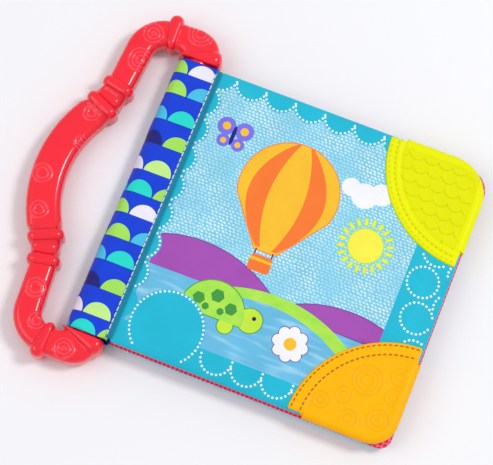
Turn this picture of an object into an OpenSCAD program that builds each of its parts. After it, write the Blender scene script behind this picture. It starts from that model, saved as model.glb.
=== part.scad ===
// Cloth baby book with a carrying handle and two chewable corners.
// The book lies closed on its back cover, the spine along Y and the fore edge towards +X.
// All points are worked out from the spine seam (x = 0) and the middle of the handle (y = 0),
// then moved so that the origin is under the middle of the whole book.

/* [Covers] */
// Width of a cover, from the spine seam to the fore edge
cover_w = 153; // [145:1:175]
// Length of a cover along the spine
cover_h = 156.5; // [146:0.5:166]
// Thickness of a padded cover
cover_t = 4.6; // [3.6:0.1:5]
// Thickness of the cloth that a cover is sewn from
cloth_t = 0.8; // [0.5:0.1:1.2]
// Radius of a cover's corners
cover_corner_r = 3; // [3:0.5:8]
// How far the book has slid down the bar of the handle
book_slide = 0.6; // [0:0.1:2]
// Height of the front cover's top at the spine
front_top_z = 16.5; // [16:0.1:18]
// Height of the front cover's top at the fore edge
fore_top_z = 14.7; // [14.5:0.1:15.5]
// Gap between the spine and a cover's edge
seam_gap = 0.3; // [0.2:0.1:1]
// How far a cover's fold lies outside the cover's outer face
fold_rise = 0.4; // [0.2:0.1:1]

/* [Pages] */
// Thickness of the sewn pages
page_t = 3.6; // [2.4:0.1:4]
// Radius of the pages' corners
page_corner_r = 8; // [4:0.5:12]
// How far the pages show past the covers at the lower edge
page_peek = 0.5; // [0:0.1:0.6]
// Height of the pages' underside at the spine
page_spine_z = 6.2; // [5.5:0.1:7]
// Gap between the pages and the back cover at the fore edge
page_rest_gap = 0.3; // [0.2:0.1:1]

/* [Spine sleeve] */
// Width of the sleeve that holds the handle's bar
sleeve_w = 24; // [22:0.5:28]
// Height of the sleeve
sleeve_h = 16; // [15.5:0.1:16.2]
// Radius of the sleeve's edge beside the seam
sleeve_seam_r = 2; // [1:0.1:3]
// Radius of the half circles printed on the sleeve
sleeve_dot_r = 7.5; // [4:0.1:7.8]
// Distance between two rows of half circles
sleeve_row_pitch = 13.6; // [8.2:0.1:18]
// Distance between two half circles of one row
sleeve_dot_pitch = 15.8; // [15.8:0.1:24]

/* [Handle] */
// Distance of the bar's axis from the spine seam
bar_offset = 13.2; // [13:0.1:14]
// Height of the bar's axis above the floor
bar_z = 8; // [8:0.1:8.4]
// Radius of the round bar inside the sleeve
bar_r = 6.25; // [5:0.05:6.3]
// Gap between the bar and the sleeve
bar_gap = 0.3; // [0.2:0.05:0.5]
// Thickness of the handle
handle_t = 12.5; // [10:0.5:13]
// Radius of the handle's long edges
handle_edge_r = 4; // [3:0.25:5]
// Width of the arms and legs of the handle
arm_w = 14.8; // [12:0.2:17]
// Width of the neck between two beads
neck_w = 13.8; // [12:0.2:16]
// Width of the grip
grip_w = 18.4; // [15:0.2:19]
// Distance from the bar's axis to the middle line of the grip
grip_reach = 50.6; // [46:0.2:60]
// Radius of the grip's curve
grip_r = 64; // [55:1:80]
// Angle from the middle of the grip to either end of its curve
grip_angle = 30; // [26:1:32]
// Length of the straight end of the grip
grip_end_l = 7.3; // [5:0.1:10]
// Length of the neck between two beads
neck_l = 13.2; // [11:0.1:16]
// Lean of the neck
neck_lean = 17.6; // [12:0.2:22]
// Room between the covers' edges and the arms
arm_gap = 3; // [1.5:0.1:5]
// Radius of the shoulder that carries the bead on the arm
shoulder_r = 30; // [26:1:40]
// Angle that the shoulder turns through
shoulder_angle = 14; // [12:1:20]
// Radius of the bend between arm and leg
bend_r = 14; // [12:0.5:18]
// Distance of the shoulder's start from the bar's axis
shoulder_start = 14.3; // [13:0.1:20]
// Distance from the bar's axis to the inner point that the corner fans out from
corner_reach = 12.5; // [11:0.1:13]
// Width of the corner beside the sleeve, where it is widest
corner_w = 20.3; // [16:0.1:21]

/* [Beads] */
// Half the thickness of a bead along the handle
bead_r = 3; // [2:0.1:3.2]
// Height of a bead
bead_h = 16; // [14:0.1:16]
// How far a bead stands out past the handle's sides
bead_over = 1.7; // [1:0.1:2.2]
// How much further the bead on the arm stands out on its outer side
arm_bead_rise = 1.6; // [0:0.1:2]
// Half the angle that the collar beside the sleeve takes up in the corner's fan
collar_angle = 11; // [6:0.5:12]
// Gap between the sleeve and the collars
collar_gap = 0.4; // [0.3:0.1:2]

/* [Teethers] */
// Radius of the upper teether's inner arc
upper_arc_r = 56; // [48:0.5:62]
// Radius of the lower teether's inner arc
lower_arc_r = 55; // [48:0.5:62]
// Radius of the upper teether's outer corner
upper_corner_r = 21; // [10:0.5:26]
// Radius of the lower teether's outer corner
lower_corner_r = 14.5; // [10:0.5:26]
// How far a teether stands out past the cover's edges
teether_over = 1.2; // [0.5:0.1:2]
// Thickness of a teether's rim and flange
teether_t = 7.2; // [6.8:0.1:7.4]
// Thickness of a teether's field inside its rim
teether_field_t = 6.2; // [3:0.1:6.8]
// Width of the flange that is sewn to the cloth
flange_w = 8; // [6:0.5:10]
// Depth of the slot that takes the cloth
slot_depth = 6.5; // [4:0.5:8]
// Radius of the flange's long edges
flange_edge_r = 1.2; // [0.6:0.1:1.2]

/* [Print] */
// Thickness of one printed field
ink_t = 0.15; // [0.1:0.05:0.2]
// Width of the border above and below the picture
border_y = 14; // [8:0.5:20]
// Width of the border beside the fore edge
border_x = 23; // [14:0.5:30]
// Width of the border beside the spine
border_seam = 6; // [4:0.5:12]
// Radius of the rings printed on the border
ring_r = 8.3; // [6:0.1:10]
// Distance between two rings that touch in a row
ring_pitch = 16.6; // [12:0.1:22]
// Width of a printed ring
ring_w = 0.8; // [0.6:0.1:1.4]
// Radius of the balloon in the picture
balloon_r = 27; // [20:0.5:29]
// Radius of the sun in the picture
sun_r = 9; // [6:0.5:11]
// Radius of the turtle's shell in the picture
turtle_r = 17; // [12:0.5:18]
// Radius of the daisy in the picture
daisy_r = 10; // [6:0.5:12]
// Radius of the largest puff of the cloud in the picture
puff_r = 7; // [4:0.5:9]
// Radius of the butterfly's upper wings in the picture
wing_r = 5; // [3:0.5:6]

/* [Hidden] */
$fn = 64;

// Small overlap that joins two shapes of one solid
bite = 0.5;
// Reach of a cutting tool past what it cuts
past = 20;

// Middle of the whole book along X, from the grip to the fore edge
x_left = -bar_offset - grip_reach - grip_w / 2;
x_right = cover_w + teether_over;
x_mid = (x_left + x_right) / 2;

// Covers' long edges along Y
cover_y0 = -cover_h / 2 - book_slide;
cover_y1 = cover_y0 + cover_h;
front_tilt = atan((front_top_z - fore_top_z) / cover_w);
front_fold_z = front_top_z + fold_rise;

// Pages
page_w = cover_w - seam_gap;
page_fore_z = cover_t + page_rest_gap;
page_tilt = atan((page_spine_z - page_fore_z) / page_w);
page_y0 = cover_y0 - page_peek;
page_y1 = cover_y1 - page_peek;

// Handle, whose upper half is worked out and mirrored
bar_x = -bar_offset;
collar_y = cover_h / 2 + book_slide + collar_gap;
arm_y = cover_h / 2 + book_slide + arm_gap + arm_w / 2;
corner_c = [bar_x - corner_reach, collar_y];
corner_ri = arm_y - arm_w / 2 - collar_y;
shoulder_c = [bar_x - shoulder_start, arm_y - shoulder_r];
shoulder_end_a = 90 + shoulder_angle;
arm_bead_a = 90 + shoulder_angle / 2;
arm_bead_angle = asin(bead_r / shoulder_r);
bend_c = at(shoulder_c, shoulder_end_a, shoulder_r - bend_r);
grip_c = [bar_x - grip_reach + grip_r, 0];
grip_end = at(grip_c, 180 - grip_angle, grip_r);
bead3_p = grip_end + grip_end_l * [sin(grip_angle), cos(grip_angle)];
bead2_p = bead3_p + neck_l * [sin(neck_lean), cos(neck_lean)];
leg_v = bead2_p - bend_c;
leg_a = atan2(leg_v.y, leg_v.x) + 360 - acos(bend_r / norm(leg_v));
bead2_a = (leg_a + 180 - neck_lean) / 2;
bead3_a = 180 - (neck_lean + grip_angle) / 2;

// Steps in a bead, in a rounded edge and in a curve of the handle
bead_step = 30;
edge_step = 22.5;
curve_step = 7.5;

// Teethers
rim_r = teether_t / 2;

// Sleeve print, one letter for each half circle from the top row down, right one first;
// it repeats after six rows
sleeve_y0 = cover_y0;
sleeve_y1 = cover_y1 - 0.5;
sleeve_rows = ceil((sleeve_y1 - sleeve_y0) / sleeve_row_pitch);
sleeve_print = "WLSLTSLNLWLT";

// Picture, in the front cover's own plane
picture_w = cover_w - border_seam - border_x;
picture_h = cover_h - 2 * border_y;
picture_y1 = cover_y1 - border_y;
picture_y0 = cover_y0 + border_y;
sky_z = cover_t;
mid_z = sky_z + ink_t;
water_h = picture_h / 4;
balloon_p = [0.38 * cover_w, 0.18 * cover_h];
basket_w = 0.44 * balloon_r;
sun_p = [0.69 * cover_w, 0.1 * cover_h];
sun_rays = 12;
ray_w = sun_r / 7;
turtle_p = [0.29 * cover_w, -0.295 * cover_h];
daisy_p = [0.575 * cover_w, -0.3 * cover_h];
petal_r = 0.34 * daisy_r;
cloud_p = [0.625 * cover_w, 0.26 * cover_h];
butterfly_p = [0.13 * cover_w, 0.295 * cover_h];

// Rounded rectangle with sides w and h and corner radius r
module rounded_rect(w, h, r) {
    square([w - 2 * r, h], center = true);
    square([w, h - 2 * r], center = true);
    for (x = [-1, 1], y = [-1, 1])
        translate([x * (w / 2 - r), y * (h / 2 - r)])
            circle(r);
}

// Half disc of radius r whose flat side lies on the Y axis
module half_disc(r) {
    intersection() {
        circle(r);
        translate([0, -r])
            square([r, 2 * r]);
    }
}

// Slab from the origin to [w, h, t] with half-round edges and corners of radius rc
module padded_slab(w, h, t, rc) {
    r = t / 2;
    translate([w / 2, h / 2])
        linear_extrude(t)
            rounded_rect(w - t, h - t, rc - r);
    for (side = [[rc, r, 0, w - 2 * rc], [w - r, rc, 90, h - 2 * rc],
                 [w - rc, h - r, 180, w - 2 * rc], [r, h - rc, 270, h - 2 * rc]])
        translate([side[0], side[1], r])
            rotate([0, 0, side[2]])
                rotate([0, 90, 0])
                    linear_extrude(side[3])
                        rotate([0, 0, -90])
                            half_disc(r);
    for (turn = [[rc, rc, 180], [w - rc, rc, 270], [w - rc, h - rc, 0], [rc, h - rc, 90]])
        translate([turn[0], turn[1], r])
            rotate([0, 0, turn[2]])
                rotate_extrude(angle = 90)
                    translate([rc - r, 0])
                        half_disc(r);
}

// One sewn leaf whose seam runs round its edge at half its thickness: "face" is the upper
// cloth, "lining" the lower cloth and "padding" the filling between them
module leaf(part) {
    module filling()
        translate([cloth_t, cloth_t, cloth_t])
            padded_slab(cover_w - seam_gap - 2 * cloth_t, cover_h - 2 * cloth_t,
                        cover_t - 2 * cloth_t, cover_corner_r - cloth_t);
    module half(z)
        translate([-past, -past, z])
            cube([cover_w + 2 * past, cover_h + 2 * past, cover_t / 2]);
    if (part == "padding")
        filling();
    else
        intersection() {
            difference() {
                padded_slab(cover_w - seam_gap, cover_h, cover_t, cover_corner_r);
                filling();
            }
            half(part == "face" ? cover_t / 2 : 0);
        }
}

// Puts children drawn in the front cover's plane, from its spine edge, in their place
module on_front_cover() {
    translate([-x_mid, 0, front_top_z])
        rotate([0, front_tilt, 0])
            translate([0, 0, -cover_t])
                children();
}

// Puts children drawn from the seam in their place
module from_seam() {
    translate([-x_mid, 0, 0])
        children();
}

// Point at distance r from c in the direction a
function at(c, a, r) = c + r * [cos(a), sin(a)];

// A station of the handle is its inner point, its outer point and how far it swells, 0 to 1
function station(c, a, r0, r1, swell = 0) =
    [at(c, a, r0 - swell * bead_over), at(c, a, r1 + swell * bead_over), swell];

// Stations round c from angle a0 to a1; the outer radius eases from r1 to r2
function curve(c, a0, a1, r0, r1, r2) =
    let (n = ceil((a1 - a0) / curve_step))
    [for (i = [0 : n])
        station(c, a0 + (a1 - a0) * i / n, r0, r2 + (r1 - r2) * (1 + cos(180 * i / n)) / 2)];

// Stations of a bead that lies in a curve round c, da to either side of angle a, and that
// stands out by rise more on its outer side
function curve_bead(c, a, da, r0, r1, rise = 0) =
    [for (u = [0 : bead_step : 180])
        station(c, a - da * cos(u), r0, r1 + rise * sin(u), sin(u))];

// Stations of a bead at p on a straight stretch whose outer side faces the direction a
function straight_bead(p, a, w) =
    [for (u = [0 : bead_step : 180])
        station(p - bead_r * cos(u) * [-sin(a), cos(a)], a, -w / 2, w / 2, sin(u))];

// Stations of the upper half of the handle, from the sleeve to the end of the grip's curve
upper_half = concat(
    curve_bead(corner_c, collar_angle, collar_angle, corner_ri, corner_ri + corner_w),
    curve(corner_c, 2 * collar_angle + 4, 90, corner_ri, corner_ri + corner_w,
          corner_ri + arm_w),
    curve_bead(shoulder_c, arm_bead_a, arm_bead_angle, shoulder_r - arm_w / 2,
               shoulder_r + arm_w / 2, arm_bead_rise),
    curve(bend_c, shoulder_end_a, leg_a, bend_r - arm_w / 2, bend_r + arm_w / 2,
          bend_r + arm_w / 2),
    straight_bead(bead2_p, bead2_a, (arm_w + neck_w) / 2),
    straight_bead(bead3_p, bead3_a, (grip_w + neck_w) / 2),
    curve(grip_c, 180 - grip_angle, 180, grip_r - grip_w / 2, grip_r + grip_w / 2,
          grip_r + grip_w / 2)
);

// The same station on the lower half
function mirrored(s) = [[s[0].x, -s[0].y], [s[1].x, -s[1].y], s[2]];

last = len(upper_half) - 1;
stations = concat(upper_half, [for (i = [last - 1 : -1 : 0]) mirrored(upper_half[i])]);

// Outline of the handle at a station, a rounded rectangle across its path
function outline(s) =
    let (
        across = s[1] - s[0],
        middle = (s[0] + s[1]) / 2,
        unit = across / norm(across),
        x = norm(across) / 2 - handle_edge_r,
        z = (handle_t + s[2] * (bead_h - handle_t)) / 2 - handle_edge_r
    )
    [for (q = [0 : 3], a = [0 : edge_step : 90])
        let (
            b = q * 90 + a,
            u = (q == 0 || q == 3 ? x : -x) + handle_edge_r * cos(b),
            p = middle + u * unit
        )
        [p.x, p.y, bar_z + (q < 2 ? z : -z) + handle_edge_r * sin(b)]];

// Skin through the stations, closed by a flat face at either end
module handle_skin() {
    rings = [for (s = stations) outline(s)];
    n = len(rings[0]);
    m = len(rings);
    points = [for (ring = rings, p = ring) p];
    sides = [for (i = [0 : m - 2], j = [0 : n - 1])
        [i * n + j, i * n + (j + 1) % n, (i + 1) * n + (j + 1) % n, (i + 1) * n + j]];
    ends = [[for (j = [n - 1 : -1 : 0]) j], [for (j = [0 : n - 1]) (m - 1) * n + j]];
    polyhedron(points, concat(sides, ends));
}

module handle() {
    color([1, 0.17, 0.24])
        from_seam() {
            handle_skin();
            translate([bar_x, 0, bar_z])
                rotate([90, 0, 0])
                    cylinder(h = 2 * (collar_y + bead_r), r = bar_r, center = true);
        }
}

// Section of the sleeve, grown by d; X runs across the book and Y runs up
module sleeve_section(d) {
    left = sleeve_h / 2;
    e = sleeve_seam_r;
    translate([-sleeve_w + left, left])
        circle(left + d);
    translate([-sleeve_w + left, -d])
        square([sleeve_w - left - e, sleeve_h + 2 * d]);
    translate([-e - bite, e])
        square([e + bite + d, sleeve_h - 2 * e]);
    for (z = [e, sleeve_h - e])
        translate([-e, z])
            circle(e + d);
}

// Sleeve grown by d, from y0 to y1
module sleeve_solid(d, y0, y1) {
    translate([0, y1, 0])
        rotate([90, 0, 0])
            linear_extrude(y1 - y0)
                sleeve_section(d);
}

module spine_sleeve() {
    color([0.08, 0.27, 0.91])
        from_seam()
            difference() {
                sleeve_solid(0, sleeve_y0, sleeve_y1);
                translate([bar_x, 0, bar_z])
                    rotate([90, 0, 0])
                        cylinder(h = cover_h + 2 * past, r = bar_r + bar_gap, center = true);
            }
}

// Half circles of one colour, printed on the top of the sleeve
module sleeve_print(letter) {
    from_seam()
        intersection() {
            difference() {
                sleeve_solid(ink_t, sleeve_y0, sleeve_y1);
                sleeve_solid(0, sleeve_y0 - past, sleeve_y1 + past);
            }
            for (row = [0 : sleeve_rows - 1], column = [0, 1])
                if (sleeve_print[(2 * row + column) % len(sleeve_print)] == letter)
                    sleeve_half_circle(row, column);
        }
}

// One half circle as a prism over the sleeve; odd rows are shifted towards the seam
module sleeve_half_circle(row, column) {
    x = -sleeve_dot_pitch * (column + 0.53) + (row % 2) * sleeve_dot_pitch * 0.31;
    y = sleeve_y1 - sleeve_dot_r - row * sleeve_row_pitch;
    translate([0, 0, sleeve_h / 2 + 2])
        intersection() {
            translate([x, y, 0])
                linear_extrude(sleeve_h)
                    rotate([0, 0, 90])
                        half_disc(sleeve_dot_r);
            translate([-sleeve_w - past, sleeve_y0 - past, 0])
                cube([sleeve_w + past - sleeve_seam_r, cover_h + 2 * past, sleeve_h]);
        }
}

module sleeve_print_lime() {
    color([0.66, 0.9, 0.38])
        sleeve_print("L");
}

module sleeve_print_turquoise() {
    color([0.13, 0.87, 0.8])
        sleeve_print("T");
}

module sleeve_print_sky() {
    color([0.27, 0.75, 0.9])
        sleeve_print("S");
}

module sleeve_print_white() {
    color([0.94, 0.92, 1])
        sleeve_print("W");
}

module sleeve_print_navy() {
    color([0.06, 0.12, 0.6])
        sleeve_print("N");
}

module page() {
    color([0.9, 0.13, 0.3])
        translate([-x_mid, page_y0, page_spine_z])
            rotate([0, page_tilt, 0])
                padded_slab(page_w, page_y1 - page_y0, page_t, page_corner_r);
}

// Cuts both fore corners of the front cover back to the teethers' slots
module corner_cuts() {
    translate([cover_w, cover_y1, -past])
        cylinder(h = 2 * past + cover_t, r = upper_arc_r - slot_depth);
    translate([cover_w, cover_y0, -past])
        cylinder(h = 2 * past + cover_t, r = lower_arc_r - slot_depth);
}

module front_leaf(part) {
    on_front_cover()
        difference() {
            translate([seam_gap, cover_y0, 0])
                leaf(part);
            corner_cuts();
        }
}

module front_cover_face() {
    color([0.09, 0.72, 0.83])
        front_leaf("face");
}

module front_cover_padding() {
    color([0.95, 0.95, 0.93])
        front_leaf("padding");
}

module front_cover_lining() {
    color([0.09, 0.66, 0.78])
        front_leaf("lining");
}

// Teether on a corner at the origin, its outer edges towards +X and +Y; Z runs from the
// middle of the cover's thickness
module teether(arc_r, outer_r) {
    edge = teether_over - rim_r;
    turn = outer_r - teether_over;
    difference() {
        union() {
            intersection() {
                union() {
                    translate([0, 0, -teether_field_t / 2])
                        cylinder(h = teether_field_t, r = arc_r - flange_w / 2);
                    rotate_extrude()
                        translate([arc_r - flange_w / 2, 0])
                            rounded_rect(flange_w, teether_t, flange_edge_r);
                }
                translate([0, 0, -past])
                    linear_extrude(2 * past)
                        teether_outline(arc_r, edge, turn);
            }
            translate([edge, -turn, 0])
                rotate([90, 0, 0])
                    cylinder(h = arc_r - turn - rim_r / 2, r = rim_r);
            translate([-turn, edge, 0])
                rotate([0, -90, 0])
                    cylinder(h = arc_r - turn - rim_r / 2, r = rim_r);
            translate([-turn, -turn, 0])
                rotate_extrude(angle = 90)
                    translate([turn + edge, 0])
                        circle(rim_r);
        }
        rotate_extrude()
            translate([arc_r - slot_depth, -cover_t / 2])
                square([slot_depth + past, cover_t]);
    }
}

// Quarter plane inside the rim's middle line, with its corner rounded
module teether_outline(arc_r, edge, turn) {
    far = arc_r + past;
    translate([-far, -far])
        square([far + edge, far - turn]);
    translate([-far, -far])
        square([far - turn, far + edge]);
    translate([-turn, -turn])
        circle(turn + edge);
}

module upper_teether() {
    color([0.94, 0.95, 0.05])
        on_front_cover()
            translate([cover_w, cover_y1, cover_t / 2])
                teether(upper_arc_r, upper_corner_r);
}

module lower_teether() {
    color([1, 0.72, 0.05])
        on_front_cover()
            translate([cover_w, cover_y0, cover_t / 2])
                mirror([0, 1, 0])
                    teether(lower_arc_r, lower_corner_r);
}

// Printed field on the front cover, from height z, kept clear of the teethers
module printed(z, height = ink_t) {
    on_front_cover()
        translate([0, 0, z])
            linear_extrude(height)
                difference() {
                    children();
                    translate([cover_w, cover_y1])
                        circle(upper_arc_r + 0.5);
                    translate([cover_w, cover_y0])
                        circle(lower_arc_r + 0.5);
                }
}

module ring_2d(p) {
    translate(p)
        difference() {
            circle(ring_r);
            circle(ring_r - ring_w);
        }
}

// Border of the cover outside the picture, clear of the rounded edges
module border_area() {
    e = cover_t / 2 + seam_gap;
    difference() {
        translate([e, cover_y0 + e])
            square([cover_w - 2 * e, cover_h - 2 * e]);
        picture_area();
    }
}

// The picture's rectangle with rounded corners
module picture_area() {
    translate([border_seam + picture_w / 2, (picture_y0 + picture_y1) / 2])
        rounded_rect(picture_w, picture_h, 6);
}

// Hills as two large discs inside the picture
module hills() {
    intersection() {
        union() {
            translate([0.18 * cover_w, -0.525 * cover_h])
                circle(0.447 * cover_h);
            translate([0.73 * cover_w, -0.56 * cover_h])
                circle(0.434 * cover_h);
        }
        picture_area();
    }
}

module water() {
    intersection() {
        translate([border_seam, picture_y0])
            square([picture_w, water_h]);
        picture_area();
    }
}

// Bank as a crescent between hills and water, behind the turtle
module bank() {
    intersection() {
        difference() {
            translate([0.48 * cover_w, -0.665 * cover_h])
                circle(0.5 * cover_h);
            translate([0.46 * cover_w, -0.715 * cover_h])
                circle(0.511 * cover_h);
            turtle_2d();
        }
        picture_area();
    }
}

// Rings whose lower halves hang from the cover's upper edge and from the picture, and two
// whole ones between the teethers
module border_rings() {
    color([0.85, 0.97, 1])
        printed(sky_z)
            intersection() {
                border_area();
                union() {
                    for (x = [border_seam - ring_r / 2 : ring_pitch : cover_w])
                        for (y = [cover_y1 - seam_gap, picture_y0 - seam_gap])
                            ring_2d([x, y]);
                    for (side = [-1, 1])
                        ring_2d([cover_w - border_x / 2,
                                 (cover_y0 + cover_y1) / 2 + side * (ring_r + ring_w)]);
                }
            }
}

module picture_sky() {
    color([0.62, 0.85, 0.93])
        printed(sky_z)
            difference() {
                picture_area();
                hills();
                water();
            }
}

module picture_hill() {
    color([0.65, 0.33, 0.7])
        printed(sky_z)
            difference() {
                hills();
                water();
            }
}

module picture_water() {
    color([0.5, 0.82, 0.92])
        printed(sky_z)
            water();
}

module picture_bank() {
    color([0.72, 0.9, 0.3])
        printed(mid_z)
            bank();
}

module balloon_2d() {
    translate(balloon_p)
        circle(balloon_r);
    translate(balloon_p)
        polygon([[-balloon_r * 0.94, -balloon_r * 0.34], [balloon_r * 0.94, -balloon_r * 0.34],
                 [basket_w / 2, -balloon_r * 1.3], [-basket_w / 2, -balloon_r * 1.3]]);
}

// Gores of the balloon, as two lens shapes
module gores_2d() {
    intersection() {
        balloon_2d();
        union() {
            for (s = [-1, 1])
                translate(balloon_p)
                    difference() {
                        translate([s * balloon_r * 0.5, 0])
                            circle(balloon_r * 1.1);
                        translate([s * balloon_r * 0.12, 0])
                            circle(balloon_r * 1.06);
                    }
        }
    }
}

module picture_yellow() {
    color([1, 0.77, 0.2])
        printed(mid_z) {
            difference() {
                balloon_2d();
                gores_2d();
            }
            translate(sun_p)
                circle(sun_r);
            for (i = [0 : sun_rays - 1])
                translate(sun_p)
                    rotate(i * 360 / sun_rays)
                        translate([sun_r + ray_w, -ray_w / 2])
                            square([3 * ray_w, ray_w]);
        }
}

module picture_orange() {
    color([1, 0.49, 0.16])
        printed(mid_z) {
            gores_2d();
            translate(balloon_p + [-basket_w / 2, -balloon_r * 1.7])
                square([basket_w, balloon_r / 3]);
        }
}

// Turtle seen from the side: shell, head and feet
module turtle_2d() {
    translate(turtle_p) {
        intersection() {
            circle(turtle_r);
            translate([-turtle_r, -turtle_r * 0.12])
                square([2 * turtle_r, turtle_r * 1.2]);
        }
        translate([turtle_r * 1.18, turtle_r * 0.18])
            circle(turtle_r * 0.38);
        for (x = [-0.65, 0.53])
            translate([turtle_r * x, -turtle_r * 0.24])
                circle(turtle_r * 0.24);
    }
}

module picture_green() {
    color([0.7, 0.92, 0.3])
        printed(mid_z)
            turtle_2d();
}

module picture_white() {
    color([0.97, 0.97, 1])
        printed(mid_z) {
            for (a = [0 : 45 : 315])
                translate(daisy_p + (daisy_r - petal_r) * [cos(a), sin(a)])
                    circle(petal_r);
            for (puff = [[0, 0, 1], [1.15, 0.55, 0.85], [-1.15, 0.3, 0.7]])
                translate(cloud_p + puff_r * [puff[0], puff[1]])
                    circle(puff_r * puff[2]);
        }
}

module picture_lilac() {
    color([0.5, 0.42, 0.85])
        printed(mid_z)
            for (wing = [[-1, 0.8, 1], [1, 0.8, 1], [-0.8, -0.8, 0.72], [0.8, -0.8, 0.72]])
                translate(butterfly_p + wing_r * [wing[0], wing[1]])
                    circle(wing_r * wing[2]);
}

module back_leaf(part) {
    translate([seam_gap - x_mid, cover_y0, 0])
        leaf(part);
}

// The lower cloth of the back cover is its outer face
module back_cover_face() {
    color([0.09, 0.72, 0.83])
        back_leaf("lining");
}

module back_cover_padding() {
    color([0.95, 0.95, 0.93])
        back_leaf("padding");
}

module back_cover_lining() {
    color([0.09, 0.66, 0.78])
        back_leaf("face");
}

handle();
spine_sleeve();
sleeve_print_lime();
sleeve_print_turquoise();
sleeve_print_sky();
sleeve_print_white();
sleeve_print_navy();
page();
front_cover_face();
front_cover_padding();
front_cover_lining();
upper_teether();
lower_teether();
border_rings();
picture_sky();
picture_hill();
picture_water();
picture_bank();
picture_yellow();
picture_orange();
picture_green();
picture_white();
picture_lilac();
back_cover_face();
back_cover_padding();
back_cover_lining();
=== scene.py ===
import math

import bmesh
import bpy
import numpy as np
from mathutils import Matrix, Vector, noise
from mathutils.bvhtree import BVHTree
from mathutils.geometry import delaunay_2d_cdt


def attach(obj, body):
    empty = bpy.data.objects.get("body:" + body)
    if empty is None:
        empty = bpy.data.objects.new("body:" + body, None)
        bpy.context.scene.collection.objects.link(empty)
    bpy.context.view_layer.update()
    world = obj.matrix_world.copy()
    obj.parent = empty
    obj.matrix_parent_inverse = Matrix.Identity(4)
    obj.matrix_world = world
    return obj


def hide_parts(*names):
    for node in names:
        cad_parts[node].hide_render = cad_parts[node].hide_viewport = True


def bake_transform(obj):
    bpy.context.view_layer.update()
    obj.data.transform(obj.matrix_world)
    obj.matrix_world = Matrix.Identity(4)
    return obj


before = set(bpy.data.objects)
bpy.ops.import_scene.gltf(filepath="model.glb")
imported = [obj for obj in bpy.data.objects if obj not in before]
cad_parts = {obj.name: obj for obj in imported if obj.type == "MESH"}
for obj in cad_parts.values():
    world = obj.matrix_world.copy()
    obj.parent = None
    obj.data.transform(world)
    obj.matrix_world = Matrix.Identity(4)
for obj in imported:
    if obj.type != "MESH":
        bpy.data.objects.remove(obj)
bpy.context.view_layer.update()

# All points are worked out in millimetres from the spine seam, as in the part's source.
MM = 0.001
X_MID = 40.6
COVER_W, COVER_H, COVER_T = 153.0, 156.5, 4.6
Y0, Y1 = -78.85, 77.65
COVER_CORNER_R = 3.0
SEAM_GAP = 0.3
FRONT_TOP_Z, FORE_TOP_Z = 16.5, 14.7
FRONT_TILT = math.atan((FRONT_TOP_Z - FORE_TOP_Z) / COVER_W)
PAGE_T, PAGE_SPINE_Z, PAGE_FORE_Z = 3.6, 6.2, 4.9
PAGE_TILT = math.atan((PAGE_SPINE_Z - PAGE_FORE_Z) / (COVER_W - SEAM_GAP))
PAGE_PEEK = 0.5
BAR_X, BAR_Z, BAR_R = -13.2, 8.0, 6.25
SLEEVE_W, SLEEVE_H, SLEEVE_SEAM_R = 24.0, 16.0, 2.0
SLEEVE_Y1 = Y1 + 0.1
UPPER_ARC_R, LOWER_ARC_R = 56.0, 55.0
UPPER_CORNER_R, LOWER_CORNER_R = 21.0, 14.5
TEETHER_OVER, RIM_R, FIELD_H, FLANGE_W = 1.2, 3.6, 3.1, 8.0
FRONT_FOLD_Z, BACK_FOLD_Z = 16.9, -0.4
# How far from its seam a cover's padded edge is round
EDGE_ROUND = 3.2
# Where the ends of a teether's flange stop, before their rounded lip
NOTCH_SIDE = -1.7


def unit(a):
    return np.array([math.cos(a), math.sin(a)])


def deg(a):
    return unit(math.radians(a))


def to_row(points):
    """Points in millimetres from the spine seam, as metres in the row frame."""
    p = np.array(points, float).reshape(-1, 3)
    return (p - np.array([X_MID, 0, 0])) * MM


def tilted(points, angle, z0):
    """Points of a flat leaf, turned by its small tilt about Y and raised to z0."""
    p = np.array(points, float).reshape(-1, 3)
    c, s = math.cos(angle), math.sin(angle)
    return np.stack([p[:, 0] * c + p[:, 2] * s, p[:, 1], z0 - p[:, 0] * s + p[:, 2] * c], 1)


def on_front(points):
    """Points in the front cover's plane, whose z runs from 0 below to COVER_T on top."""
    return tilted(np.array(points, float).reshape(-1, 3) - [0, 0, COVER_T], FRONT_TILT,
                  FRONT_TOP_Z)


def on_page(points):
    return tilted(points, PAGE_TILT, PAGE_SPINE_Z)


def on_back(points):
    return np.array(points, float).reshape(-1, 3)


def make_object(name, points, faces, materials, face_material=None, uv=None):
    """A smooth-shaded mesh; points and uv are in millimetres."""
    mesh = bpy.data.meshes.new(name)
    mesh.from_pydata([tuple(p) for p in to_row(points)], [], [tuple(f) for f in faces])
    mesh.validate()
    for m in materials:
        mesh.materials.append(m)
    if face_material is not None and len(face_material) == len(mesh.polygons):
        mesh.polygons.foreach_set("material_index", np.array(face_material, np.int32))
    if uv is not None:
        layer = mesh.uv_layers.new(name="cloth")
        loops = np.zeros(len(mesh.loops), np.int32)
        mesh.loops.foreach_get("vertex_index", loops)
        layer.data.foreach_set("uv", np.array(uv, np.float32)[loops].ravel())
    mesh.polygons.foreach_set("use_smooth", np.full(len(mesh.polygons), True))
    mesh.update()
    obj = bpy.data.objects.new(name, mesh)
    bpy.context.scene.collection.objects.link(obj)
    return obj


def face_outwards(obj):
    """Turns all the faces of a closed mesh outwards."""
    mesh = bmesh.new()
    mesh.from_mesh(obj.data)
    bmesh.ops.recalc_face_normals(mesh, faces=mesh.faces)
    mesh.to_mesh(obj.data)
    mesh.free()
    return obj


def net_faces(rows, n, start=0, closed=True):
    """Faces between rows of n points, numbered from start; closed joins the rows' ends."""
    return [(start + i * n + j, start + i * n + (j + 1) % n,
             start + (i + 1) * n + (j + 1) % n, start + (i + 1) * n + j)
            for i in range(rows - 1) for j in range(n if closed else n - 1)]


# Materials

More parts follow.
